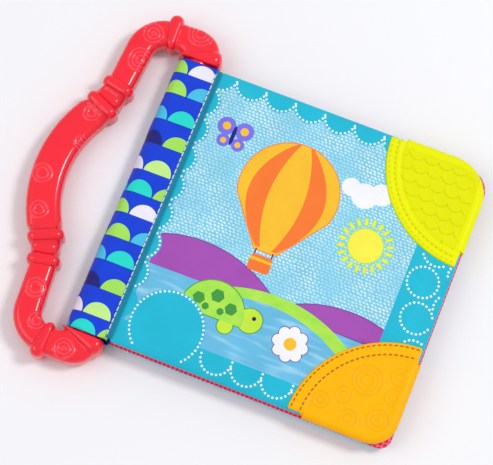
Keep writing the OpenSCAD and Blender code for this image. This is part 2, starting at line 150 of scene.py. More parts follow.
class Nodes:
    """A short way to write shader nodes."""

    def __init__(self, name):
        self.material = bpy.data.materials.new(name)
        self.material.use_nodes = True
        self.tree = self.material.node_tree
        self.shader = self.tree.nodes["Principled BSDF"]

    def node(self, kind, settings=(), **inputs):
        n = self.tree.nodes.new("ShaderNode" + kind)
        for key, value in dict(settings).items():
            setattr(n, key, value)
        for key, value in inputs.items():
            key = int(key[1:]) if key[0] == "i" and key[1:].isdigit() else key
            self.put(n.inputs[key], value)
        return n

    def put(self, socket, value):
        if isinstance(value, bpy.types.NodeSocket):
            self.tree.links.new(value, socket)
        else:
            socket.default_value = value

    def math(self, operation, a, b=0.0, c=0.0):
        return self.node("Math", {"operation": operation}, i0=a, i1=b, i2=c).outputs[0]

    def mix(self, factor, a, b):
        n = self.tree.nodes.new("ShaderNodeMix")
        n.data_type = "RGBA"
        for socket, value in ((n.inputs[0], factor), (n.inputs[6], a), (n.inputs[7], b)):
            self.put(socket, value)
        return n.outputs[2]

    def noise(self, vector, scale, detail=2.0):
        return self.node("TexNoise", Vector=vector, Scale=scale, Detail=detail).outputs[0]

    def bump(self, height, strength, distance):
        return self.node("Bump", Height=height, Strength=strength,
                         Distance=distance).outputs["Normal"]

    def ramp(self, value, x0, x1, y0, y1):
        """y0 up to x0, y1 from x1 on, and a straight rise or fall between them."""
        return self.node("MapRange", i0=value, i1=x0, i2=x1, i3=y0, i4=y1).outputs[0]

    def plane(self, x, y):
        return self.node("CombineXYZ", X=x, Y=y).outputs[0]

    def set(self, **values):
        for key, value in values.items():
            self.put(self.shader.inputs[key.replace("_", " ")], value)


def rgba(colour):
    """A display colour such as "16bdd8" as the linear colour that a shader takes."""
    parts = [int(colour[i:i + 2], 16) / 255 for i in (0, 2, 4)]
    return [c / 12.92 if c <= 0.04045 else ((c + 0.055) / 1.055) ** 2.4 for c in parts] + [1.0]


def scaled(colour, k):
    return [min(1, c * k) for c in rgba(colour)[:3]] + [1.0]


# Pitch of the cloth's threads in millimetres, and their share of the bump
THREAD_PITCH, WEAVE = 0.42, 0.35


def cloth(name, colour, pattern=None):
    """Printed polyester: a fine plain weave, slight colour variation and a soft sheen."""
    n = Nodes(name)
    mm = n.node("TexCoord").outputs["UV"]
    split = n.node("SeparateXYZ", Vector=mm)
    x, y = split.outputs[0], split.outputs[1]
    waves = [n.math("SINE", n.math("MULTIPLY", a, 2 * math.pi / THREAD_PITCH)) for a in (x, y)]
    weft = n.math("MULTIPLY", *waves)
    fine = n.noise(mm, 1.7, 3.0)
    broad = n.noise(mm, 0.06, 2.0)
    shade = n.mix(n.math("MULTIPLY", broad, 0.9), scaled(colour, 0.86), scaled(colour, 1.1))
    if pattern is not None:
        shade = pattern(n, x, y, shade)
    speck = n.math("MULTIPLY_ADD", fine, 0.16, n.math("MULTIPLY_ADD", weft, 0.03, 0.9))
    mixed = n.node("VectorMath", {"operation": "SCALE"}, i0=shade, Scale=speck)
    height = n.math("ADD", n.math("MULTIPLY", weft, WEAVE), n.math("MULTIPLY", fine, 0.5))
    n.set(Base_Color=mixed.outputs[0], Roughness=0.66, Sheen_Weight=0.12, Sheen_Roughness=0.5,
          Specular_IOR_Level=0.25, Normal=n.bump(height, 0.35, 0.00012))
    n.material.diffuse_color = rgba(colour)
    return n.material


# Pitch along and across the rows, half length, half width and slant of the sky's dashes
DASH_PITCH, DASH_HALF_L, DASH_HALF_W, DASH_SLANT = (2.15, 1.7), 0.84, 0.48, 0.35


def dashes(n, x, y, ground):
    """Rows of short slanted pale dashes, as on the picture's sky."""
    px, py = DASH_PITCH
    row = n.math("FLOOR", n.math("DIVIDE", y, py))
    shift = n.math("MULTIPLY", n.math("MODULO", n.math("ABSOLUTE", row), 2.0), px / 2)
    wobble = n.math("MULTIPLY", n.math("SINE", n.math("MULTIPLY", row, 1.7)), 0.35)
    cell = n.math("ADD", n.math("ADD", x, shift), wobble)
    column = n.math("FLOOR", n.math("DIVIDE", cell, px))
    lx = n.math("SUBTRACT", cell, n.math("MULTIPLY", n.math("ADD", column, 0.5), px))
    ly = n.math("SUBTRACT", y, n.math("MULTIPLY", n.math("ADD", row, 0.5), py))
    jitter = n.node("TexWhiteNoise", {"noise_dimensions": "2D"}, Vector=n.plane(column, row))
    parts = n.node("SeparateColor", Color=jitter.outputs["Color"])
    lx = n.math("ADD", lx, n.math("MULTIPLY_ADD", parts.outputs[0], 0.5, -0.25))
    ly = n.math("ADD", ly, n.math("MULTIPLY_ADD", parts.outputs[1], 0.4, -0.2))
    c, s = math.cos(DASH_SLANT), math.sin(DASH_SLANT)
    u = n.math("SUBTRACT", n.math("MULTIPLY", lx, c), n.math("MULTIPLY", ly, s))
    v = n.math("ADD", n.math("MULTIPLY", ly, c), n.math("MULTIPLY", lx, s))
    size = n.math("MULTIPLY_ADD", parts.outputs[2], 0.3, 0.85)
    u = n.math("DIVIDE", u, n.math("MULTIPLY", size, DASH_HALF_L))
    v = n.math("DIVIDE", v, n.math("MULTIPLY", size, DASH_HALF_W))
    r = n.math("SQRT", n.math("ADD", n.math("MULTIPLY", u, u), n.math("MULTIPLY", v, v)))
    faint = n.ramp(n.noise(n.plane(x, y), 0.05, 1.0), 0.32, 0.66, 0.3, 0.85)
    ink = n.math("MULTIPLY", n.ramp(r, 0.6, 1.25, 1.0, 0.0), faint)
    return n.mix(ink, ground, rgba("eefaff"))


# Pitch of the grid on the pages' cloth, in millimetres
GRID_PITCH = 2.4


def grid_lines(n, x, y, ground):
    """Thin light lines that cross on the pages' cloth."""
    lines = []
    for a in (x, y):
        cell = n.math("FRACT", n.math("DIVIDE", a, GRID_PITCH))
        lines.append(n.math("ABSOLUTE", n.math("SUBTRACT", cell, 0.5)))
    ink = n.ramp(n.math("MINIMUM", *lines), 0.07, 0.11, 1.0, 0.0)
    return n.mix(n.math("MULTIPLY", ink, 0.8), ground, rgba("ff8fa8"))


def washes(colour, along, across, detail, low, high, most):
    """A pattern of soft strokes along X, whose size is set by their frequency in X and in Y."""

    def pattern(n, x, y, ground):
        place = n.plane(n.math("MULTIPLY", x, along), n.math("MULTIPLY", y, across))
        band = n.noise(place, 1.0, detail)
        return n.mix(n.ramp(band, low, high, 0.0, most), ground, rgba(colour))

    return pattern


def plastic(name, colour, deep, rough, coat, scatter, gloss):
    """Soft moulded plastic: a slight depth, a faint orange-peel surface and small scuffs."""
    n = Nodes(name)
    coords = n.node("TexCoord").outputs["Object"]
    broad = n.noise(coords, 28.0, 3.0)
    fine = n.noise(coords, 900.0, 2.0)
    scuff = n.noise(coords, 160.0, 4.0)
    shade = n.mix(broad, rgba(deep), rgba(colour))
    worn = n.ramp(scuff, 0.35, 0.8, rough * 0.8, rough * 1.3)
    n.set(Base_Color=shade, Roughness=worn, Coat_Weight=coat, Coat_Roughness=0.16,
          Specular_IOR_Level=gloss, Subsurface_Weight=scatter,
          Subsurface_Radius=(0.003, 0.001, 0.0006), Subsurface_Scale=0.4,
          Normal=n.bump(fine, 0.1, 0.0001))
    n.material.diffuse_color = rgba(colour)
    return n.material


def thread(name, colour):
    """Twisted sewing thread."""
    n = Nodes(name)
    coords = n.node("TexCoord").outputs["Object"]
    wave = n.node("TexWave", {"bands_direction": "DIAGONAL"}, Vector=coords, Scale=900.0)
    shade = n.mix(wave.outputs[0], scaled(colour, 0.75), scaled(colour, 1.1))
    n.set(Base_Color=shade, Roughness=0.6, Sheen_Weight=0.05, Specular_IOR_Level=0.2,
          Normal=n.bump(wave.outputs[0], 0.4, 0.0001))
    return n.material


TURQUOISE = cloth("turquoise_cloth", "14bad6")
PANEL = cloth("dashed_sky_cloth", "7ccce6", dashes)
WHITE = cloth("white_cloth", "f4f4ff")
PURPLE = cloth("purple_cloth", "a64eb4")
PURPLE_LINE = cloth("dark_purple_cloth", "6f2f8c")
WATER = cloth("water_cloth", "68bce2", washes("a4d8ee", 0.05, 0.28, 1.0, 0.5, 0.72, 0.75))
BANK = cloth("grass_cloth", "b6e84c", washes("8be04a", 0.1, 0.16, 2.0, 0.35, 0.7, 0.8))
GREEN = cloth("lime_cloth", "c6ec3e")
GREEN_LINE = cloth("dark_green_cloth", "3f9a3e")
YELLOW = cloth("warm_yellow_cloth", "ffc02a")
SUN = cloth("sun_yellow_cloth", "fff048")
ORANGE = cloth("orange_cloth", "ff7a2c")
LIME_LINE = cloth("lime_line_cloth", "b4e84a")
LILAC = cloth("lilac_cloth", "7a72e6")
NAVY = cloth("navy_cloth", "14187c")
BLACK = cloth("black_cloth", "1c1820")
PINK = cloth("pink_cloth", "f0486c")
BLUE = cloth("blue_cloth", "003cd8")
S_LIME = cloth("sleeve_lime_cloth", "a6e65c")
S_PALE = cloth("sleeve_pale_lime_cloth", "c4f08c")
S_TURQ = cloth("sleeve_turquoise_cloth", "1edccc")
S_SKY = cloth("sleeve_sky_cloth", "46c2ea")
S_WHITE = cloth("sleeve_white_cloth", "eeeaff")
S_LINE = cloth("sleeve_line_cloth", "0c3f9c")
PAGE_CLOTH = cloth("page_cloth", "e61c48", grid_lines)
# Darker turquoise of the seam strips: painted shade in the fold at the spine
SEAM_SHADE_CLOTH = cloth("seam_painted_shade_cloth", "0b86a4")
RED = plastic("red_plastic", "fc1832", "f20e28", 0.22, 0.5, 0.06, 0.35)
YELLOW_RUBBER = plastic("yellow_rubber", "eef000", "e4e600", 0.44, 0.0, 0.06, 0.1)
ORANGE_RUBBER = plastic("orange_rubber", "ffba00", "fbae00", 0.46, 0.0, 0.06, 0.12)
# Lighter red on the handle's raised rings: painted highlight
RED_RING_HIGHLIGHT = plastic("red_ring_painted_highlight", "ff4556", "fd3a4b", 0.4, 0.1, 0.06, 0.3)
# Darker copy of the yellow rubber for the upper teether's recessed field: painted shade of the
# recess
YELLOW_FIELD_SHADE = plastic("yellow_field_painted_shade", "e6e900", "dcdf00", 0.46, 0.0, 0.06, 0.1)
# Darker yellow along the rims of the fish scales: painted shade at each rim
YELLOW_SCALE_SHADE = plastic("yellow_scale_painted_shade", "dadd00", "d2d500", 0.46, 0.0, 0.06, 0.1)
# Darker copy of the orange rubber on the lower teether's relief rings: painted shade along the
# rings
ORANGE_RING_SHADE = plastic("orange_ring_painted_shade", "f9b000", "f2a600", 0.46, 0.0, 0.06, 0.12)
SEAM_THREAD = thread("white_thread", "dfe6ee")
YELLOW_THREAD = thread("yellow_thread", "dcd800")
ORANGE_THREAD = thread("orange_thread", "b87400")


# Printed sheets: the print is cut into the mesh, so its borders are crisp

def inside(points, loop):
    """Which points lie inside a closed loop."""
    x, y = points[:, 0], points[:, 1]
    hit = np.zeros(len(points), bool)
    a = np.array(loop)
    b = np.roll(a, -1, 0)
    for (ax, ay), (bx, by) in zip(a, b):
        if ay == by:
            continue
        cross = (ay > y) != (by > y)
        hit ^= cross & (x < (bx - ax) * (y - ay) / (by - ay) + ax)
    return hit


def circle(c, r, n=None, squash=1.0, turn=0.0):
    n = n or max(12, int(2 * math.pi * r / 1.3))
    a = np.linspace(0, 2 * math.pi, n, endpoint=False)
    p = np.stack([r * np.cos(a), r * squash * np.sin(a)], 1)
    t = np.array([[math.cos(turn), math.sin(turn)], [-math.sin(turn), math.cos(turn)]])
    return p @ t + np.array(c)


def edge_distance(points, loop):
    """Distance of each point from a closed loop."""
    best = np.full(len(points), 1e9)
    a = np.array(loop)
    b = np.roll(a, -1, 0)
    for p, q in zip(a, b):
        d = q - p
        t = np.clip(((points - p) @ d) / max(d @ d, 1e-12), 0, 1)
        best = np.minimum(best, np.linalg.norm(points - p - t[:, None] * d, axis=1))
    return best


def inset(loop, d):
    """The loop moved inwards by d; the loop runs anticlockwise."""
    a = np.array(loop)
    t = np.roll(a, -1, 0) - np.roll(a, 1, 0)
    t /= np.linalg.norm(t, axis=1)[:, None]
    return a + d * np.stack([-t[:, 1], t[:, 0]], 1)


def densify(loop, step):
    out = []
    a = np.array(loop, float)
    for p, q in zip(a, np.roll(a, -1, 0)):
        n = max(1, int(math.ceil(np.linalg.norm(q - p) / step)))
        out += [p + (q - p) * i / n for i in range(n)]
    return np.array(out)


def triangulate(outline, shapes, step, rims):
    """A flat mesh of the outline, with every shape's border and a regular net of points in it."""
    points, edges = [], []

    def add(loop, closed):
        start, n = len(points), len(loop)
        points.extend(Vector((float(p[0]), float(p[1]))) for p in loop)
        if closed:
            edges.extend((start + i, start + (i + 1) % n) for i in range(n))

    for loop in [outline] + shapes:
        add(loop, True)
    for d in rims:
        add(inset(outline, d), False)
    lo, hi = outline.min(0), outline.max(0)
    gx, gy = np.meshgrid(np.arange(lo[0], hi[0], step), np.arange(lo[1], hi[1], step))
    net = np.stack([gx.ravel(), gy.ravel()], 1)
    net = net[inside(net, outline)]
    add(net[edge_distance(net, outline) > max(rims) + step / 3], False)
    v, _, f = delaunay_2d_cdt(points, edges, [], 0, 1e-4)[:3]
    v = np.array([(p[0], p[1]) for p in v])
    f = np.array([t for t in f if len(t) == 3])
    keep = inside(v[f].mean(1), outline)
    return v, f[keep]


def wound(v, f, up=1):
    """The triangles of a flat mesh, all turned to face up, or down where up is -1."""
    area = np.cross(v[f[:, 1]] - v[f[:, 0]], v[f[:, 2]] - v[f[:, 0]])
    f[area * up < 0] = f[area * up < 0][:, ::-1]
    return f


def print_index(middle, layers, first):
    """The number of the topmost print over each point, from first up; 0 on the bare ground."""
    index = np.zeros(len(middle), int)
    for i, (group, m) in enumerate(layers):
        for loop in group:
            near = np.where(((middle >= loop.min(0)) & (middle <= loop.max(0))).all(1))[0]
            if len(near):
                index[near[inside(middle[near], loop)]] = i + first
    return index


# Step of a leaf's mesh, and the distances from its seam at which it has rows of points
LEAF_STEP, LEAF_RIMS = 2.6, (0.25, 0.75, 1.5, 2.4)


def leaf(name, outline, layers, top_ground, under, shape, height_top, height_under):
    """A sewn, padded leaf. layers are (loops, material) from the lowest to the topmost print;
    height_top and height_under give the cloth's height at a point and its edge distance."""
    v, f = triangulate(outline, [l for group, m in layers for l in group], LEAF_STEP, LEAF_RIMS)
    index = print_index(v[f].mean(1), layers, 2)
    f = wound(v, f)
    top = np.column_stack([v, height_top(v, edge_distance(v, outline))])
    wv, wf = triangulate(outline, [], LEAF_STEP, LEAF_RIMS)
    wf = wound(wv, wf, -1)
    low = np.column_stack([wv, height_under(wv, edge_distance(wv, outline))])
    points = np.vstack([top, low])
    faces = [list(t) for t in f] + [list(t + len(top)) for t in wf]
    obj = make_object(name, shape(points), faces, [top_ground, under] + [m for g, m in layers],
                      list(index) + [1] * len(wf), points[:, :2].copy())
    weld = obj.modifiers.new("weld", "WELD")
    weld.merge_threshold = 0.00002
    return obj


def apply_modifiers(obj):
    bpy.context.view_layer.objects.active = obj
    graph = bpy.context.evaluated_depsgraph_get()
    mesh = bpy.data.meshes.new_from_object(obj.evaluated_get(graph))
    obj.modifiers.clear()
    obj.data = mesh
    return obj


def thicken(obj, thickness, side):
    """Gives a sheet its thickness in millimetres, below it (-1) or on both sides (0)."""
    solid = obj.modifiers.new("cloth", "SOLIDIFY")
    solid.thickness = thickness * MM
    solid.offset = side
    return apply_modifiers(obj)


# Longest straight piece of an outline, in millimetres
OUTLINE_STEP = 1.6


def rounded_outline(x0, y0, x1, y1, radii):
    """A rounded rectangle; radii are those of the lower right corner and on, anticlockwise."""
    loop = []
    for k, r in enumerate(radii):
        cx = x1 - r if k < 2 else x0 + r
        cy = y1 - r if k in (1, 2) else y0 + r
        loop += [np.array([cx, cy]) + r * deg(90 * k - 90 + t)
                 for t in range(0, 91, 15)]
    return densify(loop, OUTLINE_STEP)


def wave(p, seed, size, amount):
    """Slow random height over the plane."""
    return np.array([noise.noise(Vector((a / size, b / size, seed))) for a, b in p]) * amount


def profile(d, reach, power=0.5):
    """0 at the seam and 1 from the distance reach inwards, round like stuffed cloth."""
    t = np.clip(1 - np.maximum(d, 0) / reach, 0, 1)
    return (1 - t ** 2) ** power


# Scale of a bag in the simulation, its net's step, its frames and the most that a point moves
BAG_SCALE, BAG_STEP, BAG_FRAMES, BAG_REACH = 0.01, 4.6, 20, 0.06
BAG_RIMS = (1.2, 3.2)
# Share of the leaf's thickness that the bag has before it is blown up
BAG_START = 0.8
BAG_CLOTH = {"quality": 6, "mass": 0.08, "tension_stiffness": 12.0,
             "compression_stiffness": 12.0, "shear_stiffness": 4.0, "bending_stiffness": 0.15,
             "air_damping": 2.0, "use_pressure": True, "uniform_pressure_force": 6.0,
             "shrink_min": -0.012}


def stuffed(name, outline, half, puff, seed):
    """Height added by the stuffing over the plane. Blender's Cloth blows up a sewn bag of the
    outline, at ten times its size, with its rim free to pull in; the bag is then measured from
    above and thrown away."""
    v, f = triangulate(outline, [], BAG_STEP, BAG_RIMS)
    d = edge_distance(v, outline)
    z = BAG_START * half * profile(d, EDGE_ROUND) + 0.05 * (d > 0.01)
    uneven = 1 + wave(v, seed, 30.0, 0.25)
    top = np.column_stack([v * BAG_SCALE, z * uneven * BAG_SCALE])
    low = np.column_stack([v * BAG_SCALE, -z * BAG_SCALE])
    f = wound(v, f)
    mesh = bpy.data.meshes.new(name)
    mesh.from_pydata([tuple(p) for p in np.vstack([top, low])], [],
                     [tuple(t) for t in f] + [tuple(t[::-1] + len(v)) for t in f])
    bag = bpy.data.objects.new(name, mesh)
    scene = bpy.context.scene
    scene.collection.objects.link(bag)
    weld = bag.modifiers.new("weld", "WELD")
    weld.merge_threshold = 0.0005
    apply_modifiers(bag)
    rest = np.zeros(len(bag.data.vertices) * 3)
    bag.data.vertices.foreach_get("co", rest)
    sim = bag.modifiers.new("stuffing", "CLOTH")
    for key, value in BAG_CLOTH.items():
        setattr(sim.settings, key, value)
    sim.settings.effector_weights.gravity = 0
    sim.collision_settings.use_collision = False
    sim.point_cache.frame_start, sim.point_cache.frame_end = 1, BAG_FRAMES
    for step in range(1, BAG_FRAMES + 1):
        scene.frame_set(step)
    apply_modifiers(bag)
    scene.frame_set(1)
    moved = np.zeros(len(rest))
    bag.data.vertices.foreach_get("co", moved)
    shift = (moved - rest).reshape(-1, 3)
    length = np.linalg.norm(shift, axis=1)
    shift *= np.minimum(1, BAG_REACH / np.maximum(length, 1e-9))[:, None]
    bag.data.vertices.foreach_set("co", (rest.reshape(-1, 3) + shift).ravel())
    smooth = bag.modifiers.new("smooth", "SUBSURF")
    smooth.levels = 1
    apply_modifiers(bag)
    tree = BVHTree.FromPolygons([p.co for p in bag.data.vertices],
                                [tuple(q.vertices) for q in bag.data.polygons])
    bpy.data.objects.remove(bag)

    def height(p, d):
        found = []
        for x, y in p:
            hit = tree.ray_cast(Vector((x * BAG_SCALE, y * BAG_SCALE, 2.0)),
                                Vector((0, 0, -1)))[0]
            found.append(hit.z / BAG_SCALE if hit is not None else 0.0)
        found = np.array(found)
        swell = found - BAG_START * half
        # Full height is what nearly all points away from the seam stay under
        limit = max(1e-6, np.percentile(swell[d > 8.0], 98))
        t = np.clip((d - 1.2) / 5.0, 0, 1)
        return puff * np.clip(swell / limit, -0.6, 1.25) * t * t * (3 - 2 * t)

    return height


# Straight pieces of the arc along a teether's slot
SLOT_PIECES = 52


def cover_outline():
    """Cloth of the front cover, cut back along the teethers' slots."""
    full = rounded_outline(SEAM_GAP, Y0, COVER_W, Y1, [COVER_CORNER_R] * 4)
    for corner, r in (((COVER_W, Y0), LOWER_ARC_R - 3), ((COVER_W, Y1), UPPER_ARC_R - 3)):
        c = np.array(corner)
        away = np.linalg.norm(full - c, axis=1) > r
        start = [i for i in range(len(full)) if away[i - 1] and not away[i]][0]
        order = np.roll(np.arange(len(full)), -start)
        kept = [full[i] for i in order if away[i]]
        a0 = math.atan2(kept[-1][1] - c[1], kept[-1][0] - c[0])
        a1 = math.atan2(kept[0][1] - c[1], kept[0][0] - c[0])
        if a1 > a0:
            a1 -= 2 * math.pi
        if a0 - a1 > math.pi:
            a0 -= 2 * math.pi
        arc = [c + r * unit(a0 + (a1 - a0) * i / SLOT_PIECES) for i in range(1, SLOT_PIECES)]
        full = np.array(kept + arc)
    return full


PANEL_X0, PANEL_X1, PANEL_Y0 = 4.5, 130.0, -65.45
RING_R, RING_PITCH = 8.3, 16.6
TOP_RING_Y, LEFT_RING_X, LEFT_RING_Y = 75.9, -2.0, 59.3
SCALLOP_R = 9.0


def ring_centres():
    """Centres of the dotted rings on the border."""
    top = [(2.7 + RING_PITCH * i, TOP_RING_Y) for i in range(9)]
    left = [(LEFT_RING_X, LEFT_RING_Y - RING_PITCH * i) for i in range(7)]
    low = [(55.9 + RING_PITCH * i, -67.6) for i in range(5)]
    right = [(139.8, 8.4), (143.2, -10.6), (157.4, -0.6), (158.6, 18.4), (161.0, -20.0),
             (142.0, 27.0), (147.6, -30.0)]
    return top + left + low + right


PATCH_C, PATCH_R = (26.0, -62.0), 20.0
DOT_PITCH, DOT_R = 2.3, 0.66


def ring_dots(centres, r, allowed):
    """Small round dots along rings; a dot inside an earlier ring is left out."""
    loops = []
    for k, c in enumerate(centres):
        n = int(round(2 * math.pi * r / DOT_PITCH))
        for i in range(n):
            p = np.array(c) + r * unit(2 * math.pi * (i + 0.5) / n)
            if any(np.linalg.norm(p - np.array(o)) < r - 0.9 for o in centres[:k]):
                continue
            if allowed(p):
                loops.append(circle(p, DOT_R, 7))
    return loops


def in_border(p):
    near_cloth = (p[0] < COVER_W - 1.6 and Y0 + 1.6 < p[1] < Y1 - 1.6 and p[0] > 1.8
                  and math.hypot(p[0] - COVER_W, p[1] - Y1) > UPPER_ARC_R + 1
                  and math.hypot(p[0] - COVER_W, p[1] - Y0) > LOWER_ARC_R + 1)
    return near_cloth and not in_panel(p) and not in_patch(p)


def in_patch(p):
    return math.hypot(p[0] - PATCH_C[0], p[1] - PATCH_C[1]) < PATCH_R + 1.2


def in_panel(p):
    x, y = p
    return (panel_left(y) - 0.5 < x < PANEL_X1 + 0.5 and PANEL_Y0 - 0.5 < y
            and y < panel_top(x) + 0.5)


def scallop(t):
    """Depth of a scallop that follows a ring, t from the ring's centre."""
    dt = (t + RING_PITCH / 2) % RING_PITCH - RING_PITCH / 2
    return math.sqrt(max(0, SCALLOP_R ** 2 - dt ** 2)) + 0.3


def panel_top(x):
    """The panel's upper edge hangs in scallops below the rings."""
    return TOP_RING_Y - scallop(x - 2.7)


def panel_left(y):
    return LEFT_RING_X + scallop(y - LEFT_RING_Y)


def panel_loop():
    xs = np.linspace(8.0, PANEL_X1, 90)
    top = [(x, panel_top(x)) for x in xs[::-1]]
    side = [(panel_left(y), y) for y in np.linspace(panel_top(8.0), PANEL_Y0, 90)[1:]]
    low = [(x, PANEL_Y0) for x in np.linspace(panel_left(PANEL_Y0), PANEL_X1, 50)[1:]]
    right = [(PANEL_X1, y) for y in np.linspace(PANEL_Y0, panel_top(PANEL_X1), 50)[1:-1]]
    return np.array(top + side + low + right)


def left_strip():
    """The turquoise strip beside the spine, over the left ends of the hills and the water."""
    ys = np.linspace(20.0, PANEL_Y0 - 0.2, 70)
    return np.array([(panel_left(y), y) for y in ys[::-1]]
                    + [(PANEL_X0 - 0.3, y) for y in ys[::3]])


def clip_convex(loop, keep):
    """The loop cut by half planes (a, b, c), each keeping a*x + b*y <= c."""
    loop = [np.array(p, float) for p in loop]
    for a, b, c in keep:
        out = []
        for i in range(len(loop)):
            p, q = loop[i - 1], loop[i]
            dp, dq = a * p[0] + b * p[1] - c, a * q[0] + b * q[1] - c
            if (dp < 0) != (dq < 0):
                out.append(p + (q - p) * dp / (dp - dq))
            if dq <= 0:
                out.append(q)
        loop = out
    return np.array(loop)


PANEL_SIDES = [(-1, 0, -PANEL_X0), (1, 0, PANEL_X1), (0, -1, -PANEL_Y0)]
WATER_Y = PANEL_Y0 + 32.4


def front_layers():
    cw, ch = COVER_W, COVER_H
    layers = []

    def lay(paint, *loops):
        layers.append((list(loops), paint))

    lay(PANEL, panel_loop())
    for c, r in (((0.18 * cw, -0.525 * ch), 0.447 * ch), ((0.73 * cw, -0.56 * ch), 0.434 * ch)):
        for grow, paint in ((0.0, PURPLE_LINE), (-0.45, PURPLE)):
            lay(paint, clip_convex(circle(c, r + grow, 220), PANEL_SIDES))
    lay(WATER, clip_convex([(PANEL_X0, PANEL_Y0), (PANEL_X1, PANEL_Y0), (PANEL_X1, WATER_Y),
                            (PANEL_X0, WATER_Y)], PANEL_SIDES))
    lay(BANK, clip_convex(circle((0.48 * cw, -0.665 * ch), 0.5 * ch, 260), PANEL_SIDES))
    lay(WATER, clip_convex(circle((0.46 * cw, -0.715 * ch), 0.511 * ch, 260), PANEL_SIDES))
    # Balloon with its gores and basket
    b = np.array([0.38 * cw, 0.18 * ch])
    r = 27.0
    skin = [b + r * unit(a) for a in np.linspace(math.radians(-20), math.radians(200), 60)]
    skin += [b + np.array([-6, -1.3 * r]), b + np.array([6, -1.3 * r])]
    skin = densify(skin, OUTLINE_STEP)
    lay(ORANGE, skin)
    lay(YELLOW, inset(skin, 0.5))
    for side in (-1, 1):
        gore = []
        for foot, bulge, ts in ((3, 17.5, np.linspace(0, 1, 24)), (2, 7.5, np.linspace(1, 0, 24))):
            for t in ts:
                y = r * 0.97 - t * (r * 2.2)
                w = math.sin(math.pi * min(1, max(0, (r - y) / (2.3 * r)))) ** 0.8
                gore.append(b + np.array([side * (foot + bulge * w), y]))
        lay(ORANGE, np.array(gore))
    basket = b + np.array([0, -1.7 * r])

    def bar(x0, y0, x1, y1):
        return densify([basket + np.array(p) for p in ((x0, y0), (x1, y0), (x1, y1), (x0, y1))],
                       2)

    for dx in (-4.6, 4.6):
        lay(NAVY, bar(dx - 0.35, 8, dx + 0.35, 12.0))
    lay(ORANGE, rounded_outline(basket[0] - 6, basket[1], basket[0] + 6, basket[1] + 9,
                                [2.0] * 4))
    lay(YELLOW, bar(-6, 5.6, 6, 7.2))
    # Sun with short rays
    s = np.array([0.69 * cw, 0.1 * ch])
    rays, edges = [], []
    for i in range(20):
        d = unit(2 * math.pi * i / 20)
        across = np.array([-d[1], d[0]])
        for group, w, lo, hi in ((edges, 1.15, 10.6, 14.8), (rays, 0.62, 11.2, 14.2)):
            group.append(np.array([s + d * lo - across * w, s + d * hi - across * w * 0.8,
                                   s + d * (hi + w * 0.6), s + d * hi + across * w * 0.8,
                                   s + d * lo + across * w]))
    lay(LIME_LINE, *edges)
    lay(SUN, *rays)
    lay(LIME_LINE, circle(s, 9.6))
    lay(SUN, circle(s, 9.0))
    # Cloud
    cloud = np.array([0.625 * cw, 0.26 * ch])
    lay(WHITE, *(circle(cloud + np.array([x, y]), puff)
                 for x, y, puff in ((0, 0, 7), (8, 3.8, 6), (-8, 2.1, 5))))
    # Turtle on the water
    t = np.array([0.29 * cw, -0.295 * ch])
    tr = 17.0
    body = [circle(t + tr * np.array([1.18, 0.18]), tr * 0.38)]
    body += [circle(t + tr * np.array([x, -0.24]), tr * 0.24) for x in (-0.65, 0.53)]
    dome = [t + tr * unit(a) for a in np.linspace(math.radians(-7), math.radians(187), 50)]
    dome = densify(dome, OUTLINE_STEP)
    for grow, paint, shell in ((0.5, GREEN_LINE, GREEN_LINE), (0.0, GREEN, BANK)):
        lay(paint, *(circle(l.mean(0), np.linalg.norm(l[0] - l.mean(0)) + grow) for l in body))
        lay(shell, inset(dome, -grow))
    lay(GREEN_LINE, *(circle(t + tr * np.array([x, y]), tr * q, 6) for x, y, q in
                      ((0, 0.55, 0.22), (-0.52, 0.3, 0.2), (0.52, 0.3, 0.2),
                       (-0.24, 0.12, 0.12), (0.24, 0.12, 0.12))))
    lay(BLACK, circle(t + tr * np.array([1.28, 0.28]), 1.1))
    # Daisy and butterfly
    d = np.array([0.575 * cw, -0.3 * ch])
    for grow, paint in ((0.4, PURPLE_LINE), (0.0, WHITE)):
        petals = [circle(d + 6.6 * unit(math.pi * i / 4), 3.0 + grow) for i in range(8)]
        lay(paint, *petals, circle(d, 5.0))
    lay(YELLOW, circle(d, 3.4))
    w = np.array([0.13 * cw, 0.295 * ch])
    for share, paint in ((1, LILAC), (0.45, YELLOW)):
        lay(paint, *(circle(w + np.array([x, y]), wing * share) for x, y, wing in
                     ((-5, 4, 5), (5, 4, 5), (-4, -4, 3.6), (4, -4, 3.6))))
    lay(NAVY, circle(w, 5.6, 20, 0.2, math.pi / 2))
    lay(TURQUOISE, left_strip())
    # Round patch at the lower corner beside the spine, and all the dotted rings
    lay(TURQUOISE, clip_convex(circle(PATCH_C, PATCH_R, 90),
                               [(0, -1, -(Y0 + 1)), (-1, 0, -1.5)]))
    dots = ring_dots(ring_centres(), RING_R, in_border)
    dots += ring_dots([PATCH_C], PATCH_R - 0.9, lambda p: p[1] > Y0 + 2.5 and p[0] > 3)
    seen = []
    for l in dots:
        c = l.mean(0)
        if all(np.linalg.norm(c - o.mean(0)) > 1.15 for o in seen[-260:]):
            seen.append(l)
    lay(WHITE, *seen)
    return layers


OUTLINE = cover_outline()
FRONT_STUFFING = stuffed("front_bag", OUTLINE, COVER_T / 2, 0.9, 2.3)


